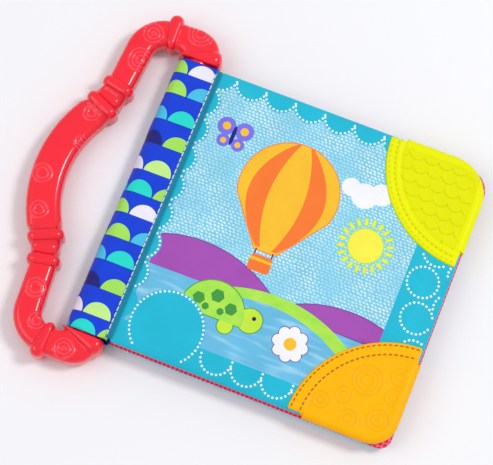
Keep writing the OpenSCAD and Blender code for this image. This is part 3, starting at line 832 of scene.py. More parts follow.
def front_top(p, d):
    """Height of the upper cloth: padding, soft waves, puckers at the seam, creases that run
    towards the upper teether, stuffing, the fold at the spine and the sunk row of stitches."""
    crown = COVER_T / 2 + COVER_T / 2 * profile(d, EDGE_ROUND)
    soft = wave(p, 2.3, 26.0, 0.4) + wave(p, 7.7, 11.0, 0.2)
    pucker = wave(p, 4.1, 6.0, 0.55) * np.exp(-d / 7.0)
    fold = -1.3 * np.exp(-(p[:, 0] / 4.6) ** 2) * np.clip(d / 2.5, 0, 1)
    stitched = -0.3 * np.exp(-((d - 1.5) / 0.4) ** 2)
    turned = p @ np.array([[math.cos(0.9), -math.sin(0.9)], [math.sin(0.9), math.cos(0.9)]])
    near = np.exp(-(np.hypot(p[:, 0] - 118, p[:, 1] - 22) / 42) ** 2)
    crease = wave(turned / np.array([34.0, 7.5]), 6.4, 1.0, 0.75) * (0.25 + near)
    return (crown + (soft + pucker + crease) * np.clip(d / 3.5, 0, 1) + FRONT_STUFFING(p, d)
            + fold + stitched)


def front_under(p, d):
    return COVER_T / 2 - COVER_T / 2 * profile(d, EDGE_ROUND)


front = apply_modifiers(leaf("front_cover", OUTLINE, front_layers(), TURQUOISE, PANEL, on_front,
                             front_top, front_under))


def plain_leaf(name, x1, y0, y1, t, r, ground, under, shape, seed, puff):
    outline = rounded_outline(SEAM_GAP, y0, x1, y1, r)
    stuffing = stuffed(name + "_bag", outline, t / 2, puff, seed)

    def top(p, d):
        bump = wave(p, seed, 24.0, 0.3) + wave(p, seed + 3, 9.0, 0.12)
        return (t / 2 + t / 2 * profile(d, t * 0.7) + bump * np.clip(d / 4, 0, 1) * 0.5
                + stuffing(p, d))

    def low(p, d):
        return t / 2 - t / 2 * profile(d, t * 0.7)

    return apply_modifiers(leaf(name, outline, [], ground, under, shape, top, low))


page = plain_leaf("page_leaf", COVER_W + PAGE_PEEK, Y0 - PAGE_PEEK, Y1 - PAGE_PEEK, PAGE_T,
                  (6.5, 12.0, 3.0, 3.0), PAGE_CLOTH, PAGE_CLOTH, on_page, 11.3, 0.25)
back = plain_leaf("back_cover", COVER_W - 0.6, Y0, Y1, COVER_T, (8.0, 12.0, 3.0, 3.0), PANEL,
                  TURQUOISE, on_back, 5.9, 0.15)


# Sleeve: a tube of printed cloth round the handle's bar

def sleeve_path():
    """Section of the sleeve from the seam over the top, round the left and back below."""
    left = SLEEVE_H / 2
    e = SLEEVE_SEAM_R
    pts = [np.array([-0.1, SLEEVE_H / 2 + 3.5])]
    pts += [np.array([-e, SLEEVE_H - e]) + e * deg(a) for a in range(0, 91, 15)]
    pts += [np.array([x, SLEEVE_H]) for x in np.arange(-4, -SLEEVE_W + left, -1.5)]
    pts += [np.array([-SLEEVE_W + left, left]) + left * deg(a)
            for a in range(90, 271, 6)]
    pts += [np.array([x, 0.0]) for x in np.arange(-SLEEVE_W + left + 1.5, -2.5, 1.5)]
    pts += [np.array([-e, e]) + e * deg(a) for a in range(270, 361, 15)]
    pts += [np.array([-0.1, SLEEVE_H / 2 - 3.5])]
    return np.array(pts)


SECTION = sleeve_path()
SECTION_S = np.concatenate([[0], np.cumsum(np.linalg.norm(np.diff(SECTION, axis=0), axis=1))])
# Arc length at x = 0 if the flat top ran on to it
TOP_S = 2.5 + SLEEVE_SEAM_R * (math.pi / 2 - 1)


def sleeve_point(s, y):
    """Place of the cloth point at arc length s round the sleeve and at y along it."""
    x = np.interp(s, SECTION_S, SECTION[:, 0])
    z = np.interp(s, SECTION_S, SECTION[:, 1])
    dx = np.interp(s + 0.4, SECTION_S, SECTION[:, 0]) - np.interp(s - 0.4, SECTION_S,
                                                                  SECTION[:, 0])
    dz = np.interp(s + 0.4, SECTION_S, SECTION[:, 1]) - np.interp(s - 0.4, SECTION_S,
                                                                  SECTION[:, 1])
    n = np.hypot(dx, dz) + 1e-9
    soft = np.array([noise.noise(Vector((a / 9.0, b / 16.0, 3.3))) * 0.5
                     + noise.noise(Vector((a / 4.0, b / 5.0, 8.1))) * 0.22
                     for a, b in zip(s, y)])
    end = np.clip(np.minimum(y - Y0, SLEEVE_Y1 - y) / 4.0, 0, 1)
    push = soft * 0.8 - 0.25 - 0.35 * (1 - end) ** 2
    return np.stack([x + push * dz / n, y, z - push * dx / n], 1)


def half_disc_loop(s, y, r):
    return np.array([(s + r * math.cos(a), y + r * math.sin(a))
                     for a in np.linspace(0, math.pi, 22)] + [(s + t, y) for t in
                    np.linspace(-r, r, 9)[1:-1]])


# Radius of the half circles, the width of their outlines and their pitch round the sleeve
HALF_DISC_R, HALF_DISC_LINE, COLUMN_PITCH = 7.5, 0.3, 15.8
# For each row the y of its base line and the x of its first half circle's middle
SLEEVE_ROWS = [(69.5, -7.4), (57.4, -3.3), (42.0, -8.1), (27.8, -5.2), (12.4, -9.7), (-0.6, 0.7),
               (-12.6, -7.4), (-26.5, -1.0), (-39.9, -9.1), (-54.9, -6.2), (-69.4, -9.9),
               (-80.2, 1.8)]
RIGHT_PAINTS = [S_WHITE, S_SKY, S_TURQ, S_LIME, S_PALE, S_LIME]
LEFT_PAINTS = [S_LIME, S_LIME, S_SKY, NAVY, S_WHITE, S_TURQ]
END_MARGIN = 0.15


def sleeve_layers(total):
    """The rows of half circles on a sleeve whose section is total long."""
    ends = [(0, 1, SLEEVE_Y1 - END_MARGIN), (0, -1, -(Y0 + END_MARGIN)), (-1, 0, -0.01)]
    layers = []
    for k, (y, x) in enumerate(SLEEVE_ROWS):
        for column in range(4):
            s = TOP_S - x + COLUMN_PITCH * column
            if s + HALF_DISC_R > total:
                continue
            paints = LEFT_PAINTS if column % 2 else RIGHT_PAINTS
            for grow, paint in ((HALF_DISC_LINE, S_LINE),
                                (0.0, paints[(k + 2 * (column // 2)) % len(paints)])):
                loop = clip_convex(half_disc_loop(s, y - grow, HALF_DISC_R + grow), ends)
                if len(loop) > 2:
                    layers.append(([loop], paint))
    return layers


# Step of the sleeve's mesh, its rim row and its cloth's thickness
SLEEVE_STEP, SLEEVE_RIM, SLEEVE_CLOTH = 1.9, 0.5, 0.6


def build_sleeve():
    total = SECTION_S[-1]
    outline = densify([(0, Y0), (total, Y0), (total, SLEEVE_Y1), (0, SLEEVE_Y1)], OUTLINE_STEP)
    layers = sleeve_layers(total)
    v, f = triangulate(outline, [l for g, m in layers for l in g], SLEEVE_STEP,
                       (SLEEVE_RIM,))
    index = print_index(v[f].mean(1), layers, 1)
    f = wound(v, f)
    obj = make_object("sleeve", sleeve_point(v[:, 0], v[:, 1]), [list(t)[::-1] for t in f],
                      [BLUE] + [m for g, m in layers], list(index), v)
    thicken(obj, SLEEVE_CLOTH, -1)
    # Both shells end at the collars
    for vertex in obj.data.vertices:
        vertex.co.y = min(max(vertex.co.y, Y0 * MM), SLEEVE_Y1 * MM)
    return obj


sleeve = build_sleeve()


# Handle, from the same stations as in the part's source

ARM_W, NECK_W, GRIP_W = 14.8, 13.8, 18.4
HANDLE_T, HANDLE_EDGE_R = 12.5, 4.0
GRIP_REACH, GRIP_R, GRIP_ANGLE, GRIP_END_L = 50.6, 64.0, 30.0, 7.3
NECK_L, NECK_LEAN = 13.2, 17.6
SHOULDER_R, SHOULDER_ANGLE, BEND_R, SHOULDER_START = 30.0, 14.0, 14.0, 14.3
CORNER_REACH, CORNER_W = 12.5, 20.3
BEAD_R, BEAD_H, BEAD_OVER, ARM_BEAD_RISE, COLLAR_ANGLE = 3.0, 16.0, 1.7, 1.6, 11.0
COLLAR_Y = 79.25
ARM_Y = 89.25
# Longest step of the mesh along the handle, and its points across a flat and round an edge
HANDLE_STEP, FLAT_POINTS, EDGE_POINTS, BAR_SIDES = 0.45, 24, 12, 40


def station(c, a, r0, r1, swell=0.0):
    """The two ends of a section across the handle, at angle a and from r0 to r1 about c, and
    the share of a bead's swell that it has."""
    return (c + (r0 - swell * BEAD_OVER) * deg(a), c + (r1 + swell * BEAD_OVER) * deg(a), swell)


def curve(c, a0, a1, r0, r1, r2, step=2.0):
    """Stations round c, whose outer radius goes smoothly from r1 to r2."""
    n = int(math.ceil(abs(a1 - a0) / step))
    return [station(c, a0 + (a1 - a0) * i / n, r0,
                    r2 + (r1 - r2) * (1 + math.cos(math.pi * i / n)) / 2) for i in range(n + 1)]


# Places along a bead and its swell there, each as a share
BEAD_ARC = [deg(u) for u in range(0, 181, 12)]


def curve_bead(c, a, da, r0, r1, rise=0.0):
    return [station(c, a - da * along, r0, r1 + rise * swell, swell) for along, swell in BEAD_ARC]


def straight_bead(p, a, w):
    t = np.array([-deg(a)[1], deg(a)[0]])
    return [station(p - BEAD_R * along * t, a, -w / 2, w / 2, swell) for along, swell in BEAD_ARC]


def handle_stations():
    """All the sections round the loop, from the upper collar to the lower one."""
    corner_c = np.array([BAR_X - CORNER_REACH, COLLAR_Y])
    corner_ri = ARM_Y - ARM_W / 2 - COLLAR_Y
    shoulder_c = np.array([BAR_X - SHOULDER_START, ARM_Y - SHOULDER_R])
    end_a = 90 + SHOULDER_ANGLE
    bend_c = shoulder_c + (SHOULDER_R - BEND_R) * deg(end_a)
    grip_c = np.array([BAR_X - GRIP_REACH + GRIP_R, 0])
    grip_end = grip_c + GRIP_R * deg(180 - GRIP_ANGLE)
    bead3_p = grip_end + GRIP_END_L * deg(GRIP_ANGLE)[::-1]
    bead2_p = bead3_p + NECK_L * deg(NECK_LEAN)[::-1]
    leg = bead2_p - bend_c
    leg_a = (math.degrees(math.atan2(leg[1], leg[0])) + 360
             - math.degrees(math.acos(BEND_R / np.linalg.norm(leg))))
    while leg_a < end_a:
        leg_a += 360
    while leg_a > end_a + 360:
        leg_a -= 360
    upper = curve_bead(corner_c, COLLAR_ANGLE, COLLAR_ANGLE, corner_ri, corner_ri + CORNER_W)
    upper += curve(corner_c, 2 * COLLAR_ANGLE + 4, 90, corner_ri, corner_ri + CORNER_W,
                   corner_ri + ARM_W)
    upper += curve_bead(shoulder_c, 90 + SHOULDER_ANGLE / 2,
                        math.degrees(math.asin(BEAD_R / SHOULDER_R)), SHOULDER_R - ARM_W / 2,
                        SHOULDER_R + ARM_W / 2, ARM_BEAD_RISE)
    upper += curve(bend_c, end_a, leg_a, BEND_R - ARM_W / 2, BEND_R + ARM_W / 2,
                   BEND_R + ARM_W / 2)
    upper += straight_bead(bead2_p, (leg_a + 180 - NECK_LEAN) / 2, (ARM_W + NECK_W) / 2)
    upper += straight_bead(bead3_p, 180 - (NECK_LEAN + GRIP_ANGLE) / 2, (GRIP_W + NECK_W) / 2)
    upper += curve(grip_c, 180 - GRIP_ANGLE, 180, GRIP_R - GRIP_W / 2, GRIP_R + GRIP_W / 2,
                   GRIP_R + GRIP_W / 2, 0.8)
    lower = [(np.array([a[0], -a[1]]), np.array([b[0], -b[1]]), s) for a, b, s in upper[-2::-1]]
    raw = upper + lower
    fine = [raw[0]]
    for one in raw[1:]:
        a = fine[-1]
        gap = max(np.linalg.norm(one[0] - a[0]), np.linalg.norm(one[1] - a[1]))
        n = max(1, int(math.ceil(gap / HANDLE_STEP)))
        if one[2] > 0 or a[2] > 0:
            n = 1
        fine += [tuple(a[k] + (one[k] - a[k]) * i / n for k in range(3)) for i in range(1, n + 1)]
    return fine


# Centre, outer radius and count of the raised rings on the handle's top, in millimetres
HANDLE_RINGS = [(-45.1, -66.1, 5.0, 2), (-37.9, -82.3, 4.2, 2), (-19.2, -90.6, 5.2, 3),
                (-41.0, 85.0, 5.2, 3), (-42.0, 68.7, 6.4, 3), (-17.2, 93.6, 6.6, 3),
                (-54.5, 32.1, 4.5, 2), (-53.8, 14.7, 3.4, 2), (-66.0, -8.0, 5.0, 2),
                (-60.0, -27.0, 4.6, 2)]


def ring_relief(x, y, rings, height, width, gap):
    """Height of raised concentric lines, each width wide and gap apart."""
    h = np.zeros(len(x))
    for cx, cy, r, n in rings:
        d = np.hypot(x - cx, y - cy)
        for i in range(n):
            h = np.maximum(h, height * np.exp(-((d - (r - i * gap)) / width) ** 2))
    return h


def build_handle():
    """Rounded sections joined into a loop, with the raised rings, and the bar between its ends."""
    rings, normals = [], []
    for a, b, swell in handle_stations():
        across = b - a
        length = np.linalg.norm(across)
        u = across / length
        middle = (a + b) / 2
        x = length / 2 - HANDLE_EDGE_R
        z = (HANDLE_T + swell * (BEAD_H - HANDLE_T)) / 2 - HANDLE_EDGE_R
        ring = []
        for q in range(4):
            for i in range(EDGE_POINTS):
                t = math.radians(q * 90 + 90 * i / (EDGE_POINTS - 1))
                k = (x if q in (0, 3) else -x) + HANDLE_EDGE_R * math.cos(t)
                p = middle + k * u
                ring.append((p[0], p[1], BAR_Z + (z if q < 2 else -z)
                             + HANDLE_EDGE_R * math.sin(t)))
                normals.append((u[0] * math.cos(t), u[1] * math.cos(t), math.sin(t)))
            if q in (0, 2):
                s = 1 if q == 0 else -1
                for i in range(1, FLAT_POINTS):
                    k = s * x * (1 - 2 * i / FLAT_POINTS)
                    p = middle + k * u
                    ring.append((p[0], p[1], BAR_Z + s * (z + HANDLE_EDGE_R)))
                    normals.append((0.0, 0.0, s))
        rings.append(ring)
    n = len(rings[0])
    pts = np.array(rings).reshape(-1, 3)
    normals = np.array(normals)
    flatness = np.clip((np.abs(normals[:, 2]) - 0.35) / 0.4, 0, 1)
    raised = ring_relief(pts[:, 0], pts[:, 1], HANDLE_RINGS, 0.45, 0.4, 2.1)
    pts += normals * (flatness * raised)[:, None]
    m = len(rings)
    faces = net_faces(m, n)
    ends = []
    for k, ring in ((0, 0), (m - 1, (m - 1) * n)):
        c = pts[ring:ring + n].mean(0)
        ends.append(c)
        centre = len(pts) + k // max(1, m - 1)
        for j in range(n):
            tri = (ring + j, ring + (j + 1) % n, centre)
            faces.append(tri if k else tri[::-1])
    pts = np.vstack([pts, ends])
    # Round bar inside the sleeve
    bar = []
    ys = np.linspace(-COLLAR_Y - 2, COLLAR_Y + 2, 21)
    for y in ys:
        bar += [(BAR_X + BAR_R * math.cos(a), y, BAR_Z + BAR_R * math.sin(a))
                for a in np.linspace(0, 2 * math.pi, BAR_SIDES, endpoint=False)]
    faces += net_faces(len(ys), BAR_SIDES, len(pts))
    pts = np.vstack([pts, bar])
    # Faces on the raised rings take the lighter red, a painted highlight
    highlight_relief = np.zeros(len(pts))
    highlight_relief[:len(raised)] = flatness * raised
    lines = [int(np.mean([highlight_relief[i] for i in f[:4]]) > 0.16) for f in faces]
    return face_outwards(make_object("handle_loop", pts, faces, [RED, RED_RING_HIGHLIGHT], lines))


handle = build_handle()


# Teethers

# Width, pitch and count of the rows of scales
SCALE_W, SCALE_PITCH, SCALE_ROWS = 7.9, 6.5, 16


def fish_scales(x, y):
    """Overlapping scales like roof tiles, highest along their lower rims, as height and as
    distance above the rim."""
    h = np.zeros(len(x))
    above = np.full(len(x), 9.0)
    for j in range(SCALE_ROWS):
        lx = (x + (j % 2) * SCALE_W / 2) % SCALE_W - SCALE_W / 2
        arc = np.sqrt(np.maximum(0, (SCALE_W / 2) ** 2 - lx ** 2))
        low = -64 + j * SCALE_PITCH - arc * 0.85
        depth = np.clip((y - low) / (SCALE_PITCH * 1.2), 0, 1)
        h = np.where(y >= low, 0.52 * (1 - depth) * np.clip((y - low) / 0.3, 0, 1), h)
        above = np.where(y >= low, y - low, above)
    return h, above


# Radius of the flange's lip and the steps round it; points along the arc; rows over the flange
# and over the field
LIP_R, LIP_STEPS, ARC_POINTS, FLANGE_ROWS, FIELD_ROWS = 1.0, 9, 170, 22, 84
# Distance from the arc at which the flange steps down to the field
FLANGE_END = 7.9


def teether_surface(name, arc_r, corner_r, relief, shade_faces, materials, corner, flip):
    """A rubber corner: flange along the arc, recessed field with relief and a round rim.
    The local frame has the cover's corner at the origin and its edges towards +X and +Y."""
    turn = corner_r - TEETHER_OVER
    rin = arc_r - LIP_R
    side = TEETHER_OVER - RIM_R
    t_values = np.concatenate([np.linspace(0, 0.04, 4), np.linspace(0.04, 0.96, ARC_POINTS)[1:],
                               np.linspace(0.96, 1, 4)[1:]])
    a0 = math.asin(side / rin)
    inner = np.array([-rin * unit(-a0 + t * (math.pi / 2 + 2 * a0)) for t in t_values])
    r_out = turn + side
    outer = np.array([np.array([-turn, -turn]) + r_out * unit(math.pi / 2 * (1 - t))
                      for t in t_values])
    rows = []
    flange = np.linspace(0, FLANGE_W + 1.2, FLANGE_ROWS)
    ring_pts = [inner * (1 - d / rin) for d in flange]
    for k, pts in enumerate(ring_pts):
        fixed = pts.copy()
        line = side + (NOTCH_SIDE - side) * np.clip((FLANGE_W - 0.6 - flange[k]) / 0.5, 0, 1)
        fixed[0] = (pts[0][0], line)
        fixed[-1] = (line, pts[-1][1])
        rows.append(fixed)
    last = rows[-1]
    for v in np.linspace(0, 1, FIELD_ROWS)[1:]:
        rows.append(last * (1 - v) + outer * v)
    grid = np.array(rows)
    nv, nt = grid.shape[:2]
    flat = grid.reshape(-1, 2)
    r = np.hypot(flat[:, 0], flat[:, 1])
    into = arc_r - r
    corner_d = np.hypot(flat[:, 0] + turn, flat[:, 1] + turn) - r_out
    edge = np.minimum(side - flat[:, 0], side - flat[:, 1])
    in_corner = (flat[:, 0] > -turn) & (flat[:, 1] > -turn)
    edge = np.where(in_corner, np.minimum(edge, -corner_d), edge)
    h = relief(flat, into, edge)
    zc = COVER_T / 2

    def loop_ids(base):
        ids = [base + i for i in range(nt)]
        ids += [base + k * nt + nt - 1 for k in range(1, nv)]
        ids += [base + (nv - 1) * nt + i for i in range(nt - 2, -1, -1)]
        ids += [base + k * nt for k in range(nv - 2, 0, -1)]
        return ids

    pts = [np.column_stack([flat, zc + sign * h]) for sign in (1, -1)]
    faces = [(a, d, c, b) for a, b, c, d in net_faces(nv, nt, 0, False)]
    faces += [(b, c, d, a) for a, b, c, d in net_faces(nv, nt, len(flat), False)]
    up_ids, low_ids = loop_ids(0), loop_ids(len(flat))
    rim = flat[np.array(up_ids)]
    tangent = np.roll(rim, -1, 0) - np.roll(rim, 1, 0)
    tangent /= np.linalg.norm(tangent, axis=1)[:, None] + 1e-12
    normal = np.stack([tangent[:, 1], -tangent[:, 0]], 1)
    middle = flat.mean(0)
    if ((rim - middle) * normal).sum() < 0:
        normal = -normal
    on_flange = np.hypot(rim[:, 0], rim[:, 1]) > rin - FLANGE_W + 0.8
    reach = np.where(on_flange, LIP_R, RIM_R)
    for _ in range(2):
        reach = (np.roll(reach, 1) + reach * 2 + np.roll(reach, -1)) / 4
    rim_h = h[np.array(up_ids)]
    previous = np.array(up_ids)
    count = 2 * len(flat)
    for s in range(1, LIP_STEPS + 1):
        if s == LIP_STEPS:
            current = np.array(low_ids)
        else:
            a = math.pi * s / LIP_STEPS
            ring = rim + normal * (reach * math.sin(a))[:, None]
            pts.append(np.column_stack([ring, zc + rim_h * math.cos(a)]))
            current = np.arange(count, count + len(rim))
            count += len(rim)
        for i in range(len(rim)):
            j = (i + 1) % len(rim)
            faces.append((previous[i], current[i], current[j], previous[j]))
        previous = current
    points = np.vstack(pts)
    points[:, 1] *= flip
    points[:, 0] += corner[0]
    points[:, 1] += corner[1]
    if flip < 0:
        faces = [tuple(f)[::-1] for f in faces]
    middle = np.array([points[list(f)].mean(0)[:2] for f in faces])
    local = (middle - np.array(corner)) * [1, flip]
    into = arc_r - np.hypot(local[:, 0], local[:, 1])
    edge = np.minimum(side - local[:, 0], side - local[:, 1])
    # Each face takes the rubber or a darker copy of it that is painted shade on the field, the
    # scales' rims or the rings
    return face_outwards(make_object(name, on_front(points), faces, materials,
                                     shade_faces(local, into, edge)))


def smooth_rim(edge, low, reach):
    """Height from the middle of the rubber: the field's, rising smoothly to the rim's."""
    t = np.clip(1 - edge / reach, 0, 1)
    return low + (RIM_R - low) * t * t * (3 - 2 * t)


def upper_relief(p, into, edge):
    """Half thickness of the upper teether at a distance from its arc and from its edge."""
    step = 1 / (1 + np.exp((into - FLANGE_END) / 0.16))
    ridge = 0.25 * np.exp(-((into - 6.4) / 0.6) ** 2)
    groove = -0.2 * np.exp(-((into - 4.9) / 0.5) ** 2)
    seam = -0.45 * np.exp(-((into - 8.7) / 0.45) ** 2)
    inner = np.clip((edge - 2.2) / 1.6, 0, 1) * (1 - step)
    field = smooth_rim(edge, FIELD_H - 0.25, 4.4)
    return ((3.55 + ridge + groove) * step + field * (1 - step) + seam
            + inner * fish_scales(p[:, 0], p[:, 1])[0])


def upper_shade_faces(p, into, edge):
    """Which of the materials each face takes: the body, the field's darker yellow, which is
    painted shade, or the darker yellow along the scales' lower rims, painted shade at each rim.
    """
    field = (into > 8.4) & (edge > 1.6)
    line = field & (edge > 2.6) & (fish_scales(p[:, 0], p[:, 1])[1] < 0.5)
    return field * 1 + line * 1


def lower_shade_faces(p, into, edge):
    # Faces along the relief rings take the darker orange, painted shade
    lines = ring_relief(p[:, 0], p[:, 1], LOWER_RINGS, 1.0, 0.5, 2.4)
    return ((into > 8.8) & (edge > 1.0) & (lines > 0.6)) * 1


def lower_relief(p, into, edge):
    step = 1 / (1 + np.exp((into - FLANGE_END) / 0.25))
    stitch = -0.2 * (np.exp(-((into - 2.0) / 0.45) ** 2) + np.exp(-((into - 6.9) / 0.45) ** 2))
    inner = np.clip((edge - 0.8) / 1.2, 0, 1) * (1 - step)
    rings = ring_relief(p[:, 0], p[:, 1], LOWER_RINGS, 0.24, 0.5, 2.4)
    field = smooth_rim(edge, FIELD_H, 4.0)
    return (3.6 + stitch) * step + field * (1 - step) + inner * rings


LOWER_RINGS = [(-21.4, -29.0, 7.8, 3), (-30.3, -17.6, 4.2, 2), (-39.9, -11.1, 4.2, 2),
               (-24.0, -7.0, 4.7, 2), (-9.4, -11.5, 5.6, 3), (-6.2, -36.2, 4.7, 2),
               (-6.0, -25.1, 4.4, 2)]
upper = teether_surface("upper_corner", UPPER_ARC_R, UPPER_CORNER_R, upper_relief,
                        upper_shade_faces, [YELLOW_RUBBER, YELLOW_FIELD_SHADE, YELLOW_SCALE_SHADE],
                        (COVER_W, Y1), 1)
lower = teether_surface("lower_corner", LOWER_ARC_R, LOWER_CORNER_R, lower_relief,
                        lower_shade_faces, [ORANGE_RUBBER, ORANGE_RING_SHADE], (COVER_W, Y0), -1)


# Sides of a stitch and rows of points on each of its ends
STITCH_SIDES, STITCH_ROWS = 6, 3


def capsule(a, b, r, squash):
    """Points and faces of one stitch from a to b, flattened in z."""
    a, b = np.array(a, float), np.array(b, float)
    t = (b - a) / np.linalg.norm(b - a)
    side = np.cross([0, 0, 1.0], t)
    side /= np.linalg.norm(side)
    up = np.cross(t, side)
    n = STITCH_SIDES
    turns = np.linspace(0.15, 1.57, STITCH_ROWS)
    stops = [(a - t * r * math.cos(u), r * math.sin(u)) for u in turns]
    stops += [(b + t * r * math.cos(u), r * math.sin(u)) for u in turns[::-1]]
    pts = [c + side * w * math.cos(q) + up * w * squash * math.sin(q)
           for c, w in stops for q in (2 * math.pi * k / n for k in range(n))]
    faces = net_faces(len(stops), n)
    faces.append(tuple(range(n))[::-1])
    faces.append(tuple((len(stops) - 1) * n + k for k in range(n)))
    return pts, faces


def stitches(name, runs, r, squash, material, shape):
    """Stitches as one mesh; runs are pairs of end points."""
    pts, faces = [], []
    for a, b in runs:
        p, f = capsule(a, b, r, squash)
        faces += [tuple(i + len(pts) for i in one) for one in f]
        pts += p
    return make_object(name, shape(np.array(pts)), faces, [material])


def arc_runs(corner, flip, arc_r, depths, height, pitch, length):
    """Stitches along the flange of a teether, on its upper and its under side."""
    runs = []
    for depth in depths:
        r = arc_r - depth
        half = length / r / 2
        for a in np.arange(0.06, math.pi / 2 - 0.05, pitch / r):
            ends = [np.array([corner[0], corner[1]]) - r * np.array([math.cos(a + o),
                    flip * math.sin(a + o)]) for o in (-half, half)]
            for side in (-1, 1):
                z = COVER_T / 2 + side * height
                runs.append(tuple(np.append(e, z) for e in ends))
    return runs


def cloth_ends(name, corner, flip, arc_r):
    """The cover's cloth where it shows beside the ends of a teether's flange."""
    pts, faces = [], []
    n, m = 20, 10
    for swapped in (False, True):
        faces += net_faces(m + 1, n, len(pts))
        for i in range(m + 1):
            t = i / m
            taper = math.sqrt(max(0.0, 1 - (2 * t - 1) ** 6))
            for k in range(n):
                a = 2 * math.pi * k / n
                along = -arc_r + 0.9 + 7.0 * t
                across = -2.0 + 1.9 * taper * math.cos(a) * (1 + 0.06 * math.sin(9 * t))
                x, y = (across, along) if swapped else (along, across)
                pts.append((corner[0] + x, corner[1] + flip * y,
                            COVER_T / 2 + 2.7 * taper * math.sin(a)))
    uv = np.array(pts)[:, :2]
    return face_outwards(make_object(name, on_front(pts), faces, [TURQUOISE], uv=uv))


upper_ends = cloth_ends("upper_corner_cloth", (COVER_W, Y1), 1, UPPER_ARC_R)
lower_ends = cloth_ends("lower_corner_cloth", (COVER_W, Y0), -1, LOWER_ARC_R)
upper_thread = stitches("upper_corner_thread", arc_runs((COVER_W, Y1), 1, UPPER_ARC_R,
                        (2.0, 4.9), 3.42, 2.9, 1.2), 0.4, 0.6, YELLOW_THREAD, on_front)
lower_thread = stitches("lower_corner_thread", arc_runs((COVER_W, Y0), -1, LOWER_ARC_R,
                        (2.0, 6.9), 3.4, 2.85, 1.0), 0.5, 0.6, ORANGE_THREAD, on_front)


# Seams between the sleeve and the covers: a narrow strip of cloth that bends at the fold

def seam_strip(name, path):
    """A strip along the fold through the points (x, z), rounded between them."""
    path = np.array(path, float)
    s = np.concatenate([[0], np.cumsum(np.linalg.norm(np.diff(path, axis=0), axis=1))])
    fine = np.linspace(0, s[-1], 17)
    line = np.stack([np.interp(fine, s, path[:, 0]), np.interp(fine, s, path[:, 1])], 1)
    for _ in range(3):
        line[1:-1] = (line[:-2] + 2 * line[1:-1] + line[2:]) / 4
    ys = np.linspace(Y0 + 1.2, SLEEVE_Y1 - 0.7, 110)
    pts, uv = [], []
    for y in ys:
        for k, (x, z) in enumerate(line):
            lift = 0.08 * math.sin(y * 1.9) * math.sin(math.pi * k / (len(line) - 1))
            pts.append((x, y, z + lift))
            uv.append((fine[k], y))
    faces = [(a, d, c, b) for a, b, c, d in net_faces(len(ys), len(line), 0, False)]
    return thicken(make_object(name, pts, faces, [SEAM_SHADE_CLOTH], uv=uv), 0.3, 0)


# The strips' darker turquoise is painted shade in the fold
front_seam = seam_strip("front_seam", [(-1.35, 15.95), (-0.6, 15.45), (0.0, 15.05), (0.8, 15.5),
                                       (1.7, 16.15)])
back_seam = seam_strip("back_seam", [(-1.5, 0.3), (-0.6, 0.75), (0.0, 1.0), (0.8, 0.7),
                                     (1.7, 0.3)])
runs = []
for z in (15.95, 0.42):
    for y in np.arange(Y0 + 3.0, SLEEVE_Y1 - 3.0, 3.3):
        runs.append(((-1.15, y, z), (-1.1, y + 2.0, z)))
seam_thread = stitches("seam_thread", runs, 0.34, 0.9, SEAM_THREAD, on_back)


# Bodies and replaced nodes

PRINT = ["border_rings"] + ["picture_" + k for k in ("sky", "hill", "water", "bank", "yellow",
                                                     "orange", "green", "white", "lilac")]
for obj, body, nodes, slot, pad in (
        (handle, "handle_loop", ["handle"], "handle_red", None),
        (sleeve, "spine", ["spine_sleeve"] + ["sleeve_print_" + k for k in (
            "lime", "turquoise", "sky", "white", "navy")], "sleeve_blue", None),
        (page, "spine", ["page"], "page_red", 0.5),
        (front, "front_cover", ["front_cover_face", "front_cover_padding",
                                "front_cover_lining"] + PRINT, "cover_turquoise", 0.5),
        (back, "back_cover", ["back_cover_face", "back_cover_padding", "back_cover_lining"],
         "cover_turquoise", 0.5),
        (upper, "front_cover", ["upper_teether"], "teether_yellow", None),
        (lower, "front_cover", ["lower_teether"], "teether_orange", None),
        (upper_thread, "front_cover", [], "teether_yellow", None),
        (lower_thread, "front_cover", [], "teether_orange", None),
        (upper_ends, "front_cover", [], "cover_turquoise", None),
        (lower_ends, "front_cover", [], "cover_turquoise", None),
        (seam_thread, "spine", [], "sleeve_blue", None)):
    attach(obj, body)
    if nodes:
        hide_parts(*nodes)

for strip, cover, z in ((front_seam, "front_cover", FRONT_FOLD_Z),
                        (back_seam, "back_cover", BACK_FOLD_Z)):
    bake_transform(strip)


# Stage, lights and camera

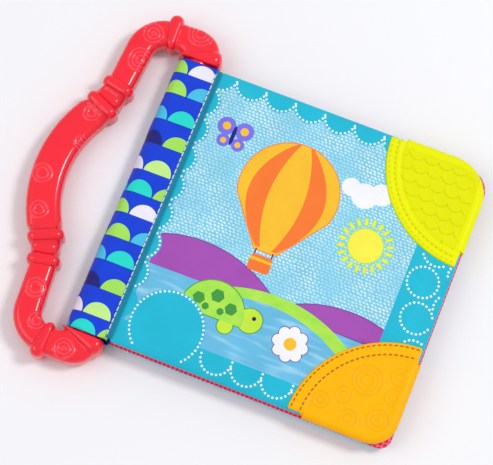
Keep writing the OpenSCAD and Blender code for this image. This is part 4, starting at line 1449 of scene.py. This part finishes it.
def build_stage():
    n = Nodes("pale_floor")
    coords = n.node("TexCoord").outputs["Object"]
    cloudy = n.noise(coords, 3.0, 2.0)
    n.set(Base_Color=n.mix(cloudy, [0.86, 0.86, 0.875, 1], [0.89, 0.89, 0.905, 1]),
          Roughness=0.85, Specular_IOR_Level=0.1)
    mesh = bpy.data.meshes.new("floor")
    k = 3.0
    mesh.from_pydata([(-k, -k, 0), (k, -k, 0), (k, k, 0), (-k, k, 0)], [], [(0, 1, 2, 3)])
    mesh.materials.append(n.material)
    floor = bpy.data.objects.new("floor", mesh)
    floor.location.z = -0.0002
    bpy.context.scene.collection.objects.link(floor)


def area_light(name, place, size, power):
    """A round light that faces the middle of the floor."""
    data = bpy.data.lights.new(name, "AREA")
    data.shape = "DISK"
    data.size = size
    data.energy = power
    obj = bpy.data.objects.new(name, data)
    obj.location = place
    obj.rotation_euler = (-Vector(place)).to_track_quat("-Z", "Y").to_euler()
    bpy.context.scene.collection.objects.link(obj)


# Camera from the perspective fit: angles in radians, distance in metres, the rest in pixels
CAMERA_AZ, CAMERA_EL, CAMERA_ROLL = 0.420655706, 1.30177525, -0.0469552386
CAMERA_DISTANCE, FOCAL_LENGTH, PICTURE_W = 1.12745, 2161.833, 493
SENSOR_W = 36.0


def build_camera():
    target = Vector((4.12, 2.09, 8.0)) * MM
    az, el, roll = CAMERA_AZ, CAMERA_EL, CAMERA_ROLL
    back_dir = Vector((math.sin(az) * math.cos(el), -math.cos(az) * math.cos(el), math.sin(el)))
    right = Vector((math.cos(az), math.sin(az), 0))
    up = back_dir.cross(right)
    r = right * math.cos(roll) + up * math.sin(roll)
    u = up * math.cos(roll) - right * math.sin(roll)
    data = bpy.data.cameras.new("camera")
    data.sensor_width = SENSOR_W
    data.lens = FOCAL_LENGTH * SENSOR_W / PICTURE_W
    data.clip_start = 0.01
    data.clip_end = 20
    obj = bpy.data.objects.new("camera", data)
    obj.matrix_world = Matrix.Translation(target + back_dir * CAMERA_DISTANCE) @ Matrix(
        (r, u, back_dir)).transposed().to_4x4()
    bpy.context.scene.collection.objects.link(obj)
    bpy.context.scene.camera = obj


build_stage()
build_camera()
area_light("key", (0.75, 0.42, 1.3), 0.4, 9.5)
area_light("fill", (-0.9, -0.5, 1.2), 1.2, 5)
world = bpy.data.worlds.new("studio")
bpy.context.scene.world = world
world.use_nodes = True
background = world.node_tree.nodes["Background"]
background.inputs["Color"].default_value = (0.96, 0.97, 1.0, 1)
background.inputs["Strength"].default_value = 0.64
bpy.context.scene.view_settings.view_transform = "Standard"

bpy.context.view_layer.update()
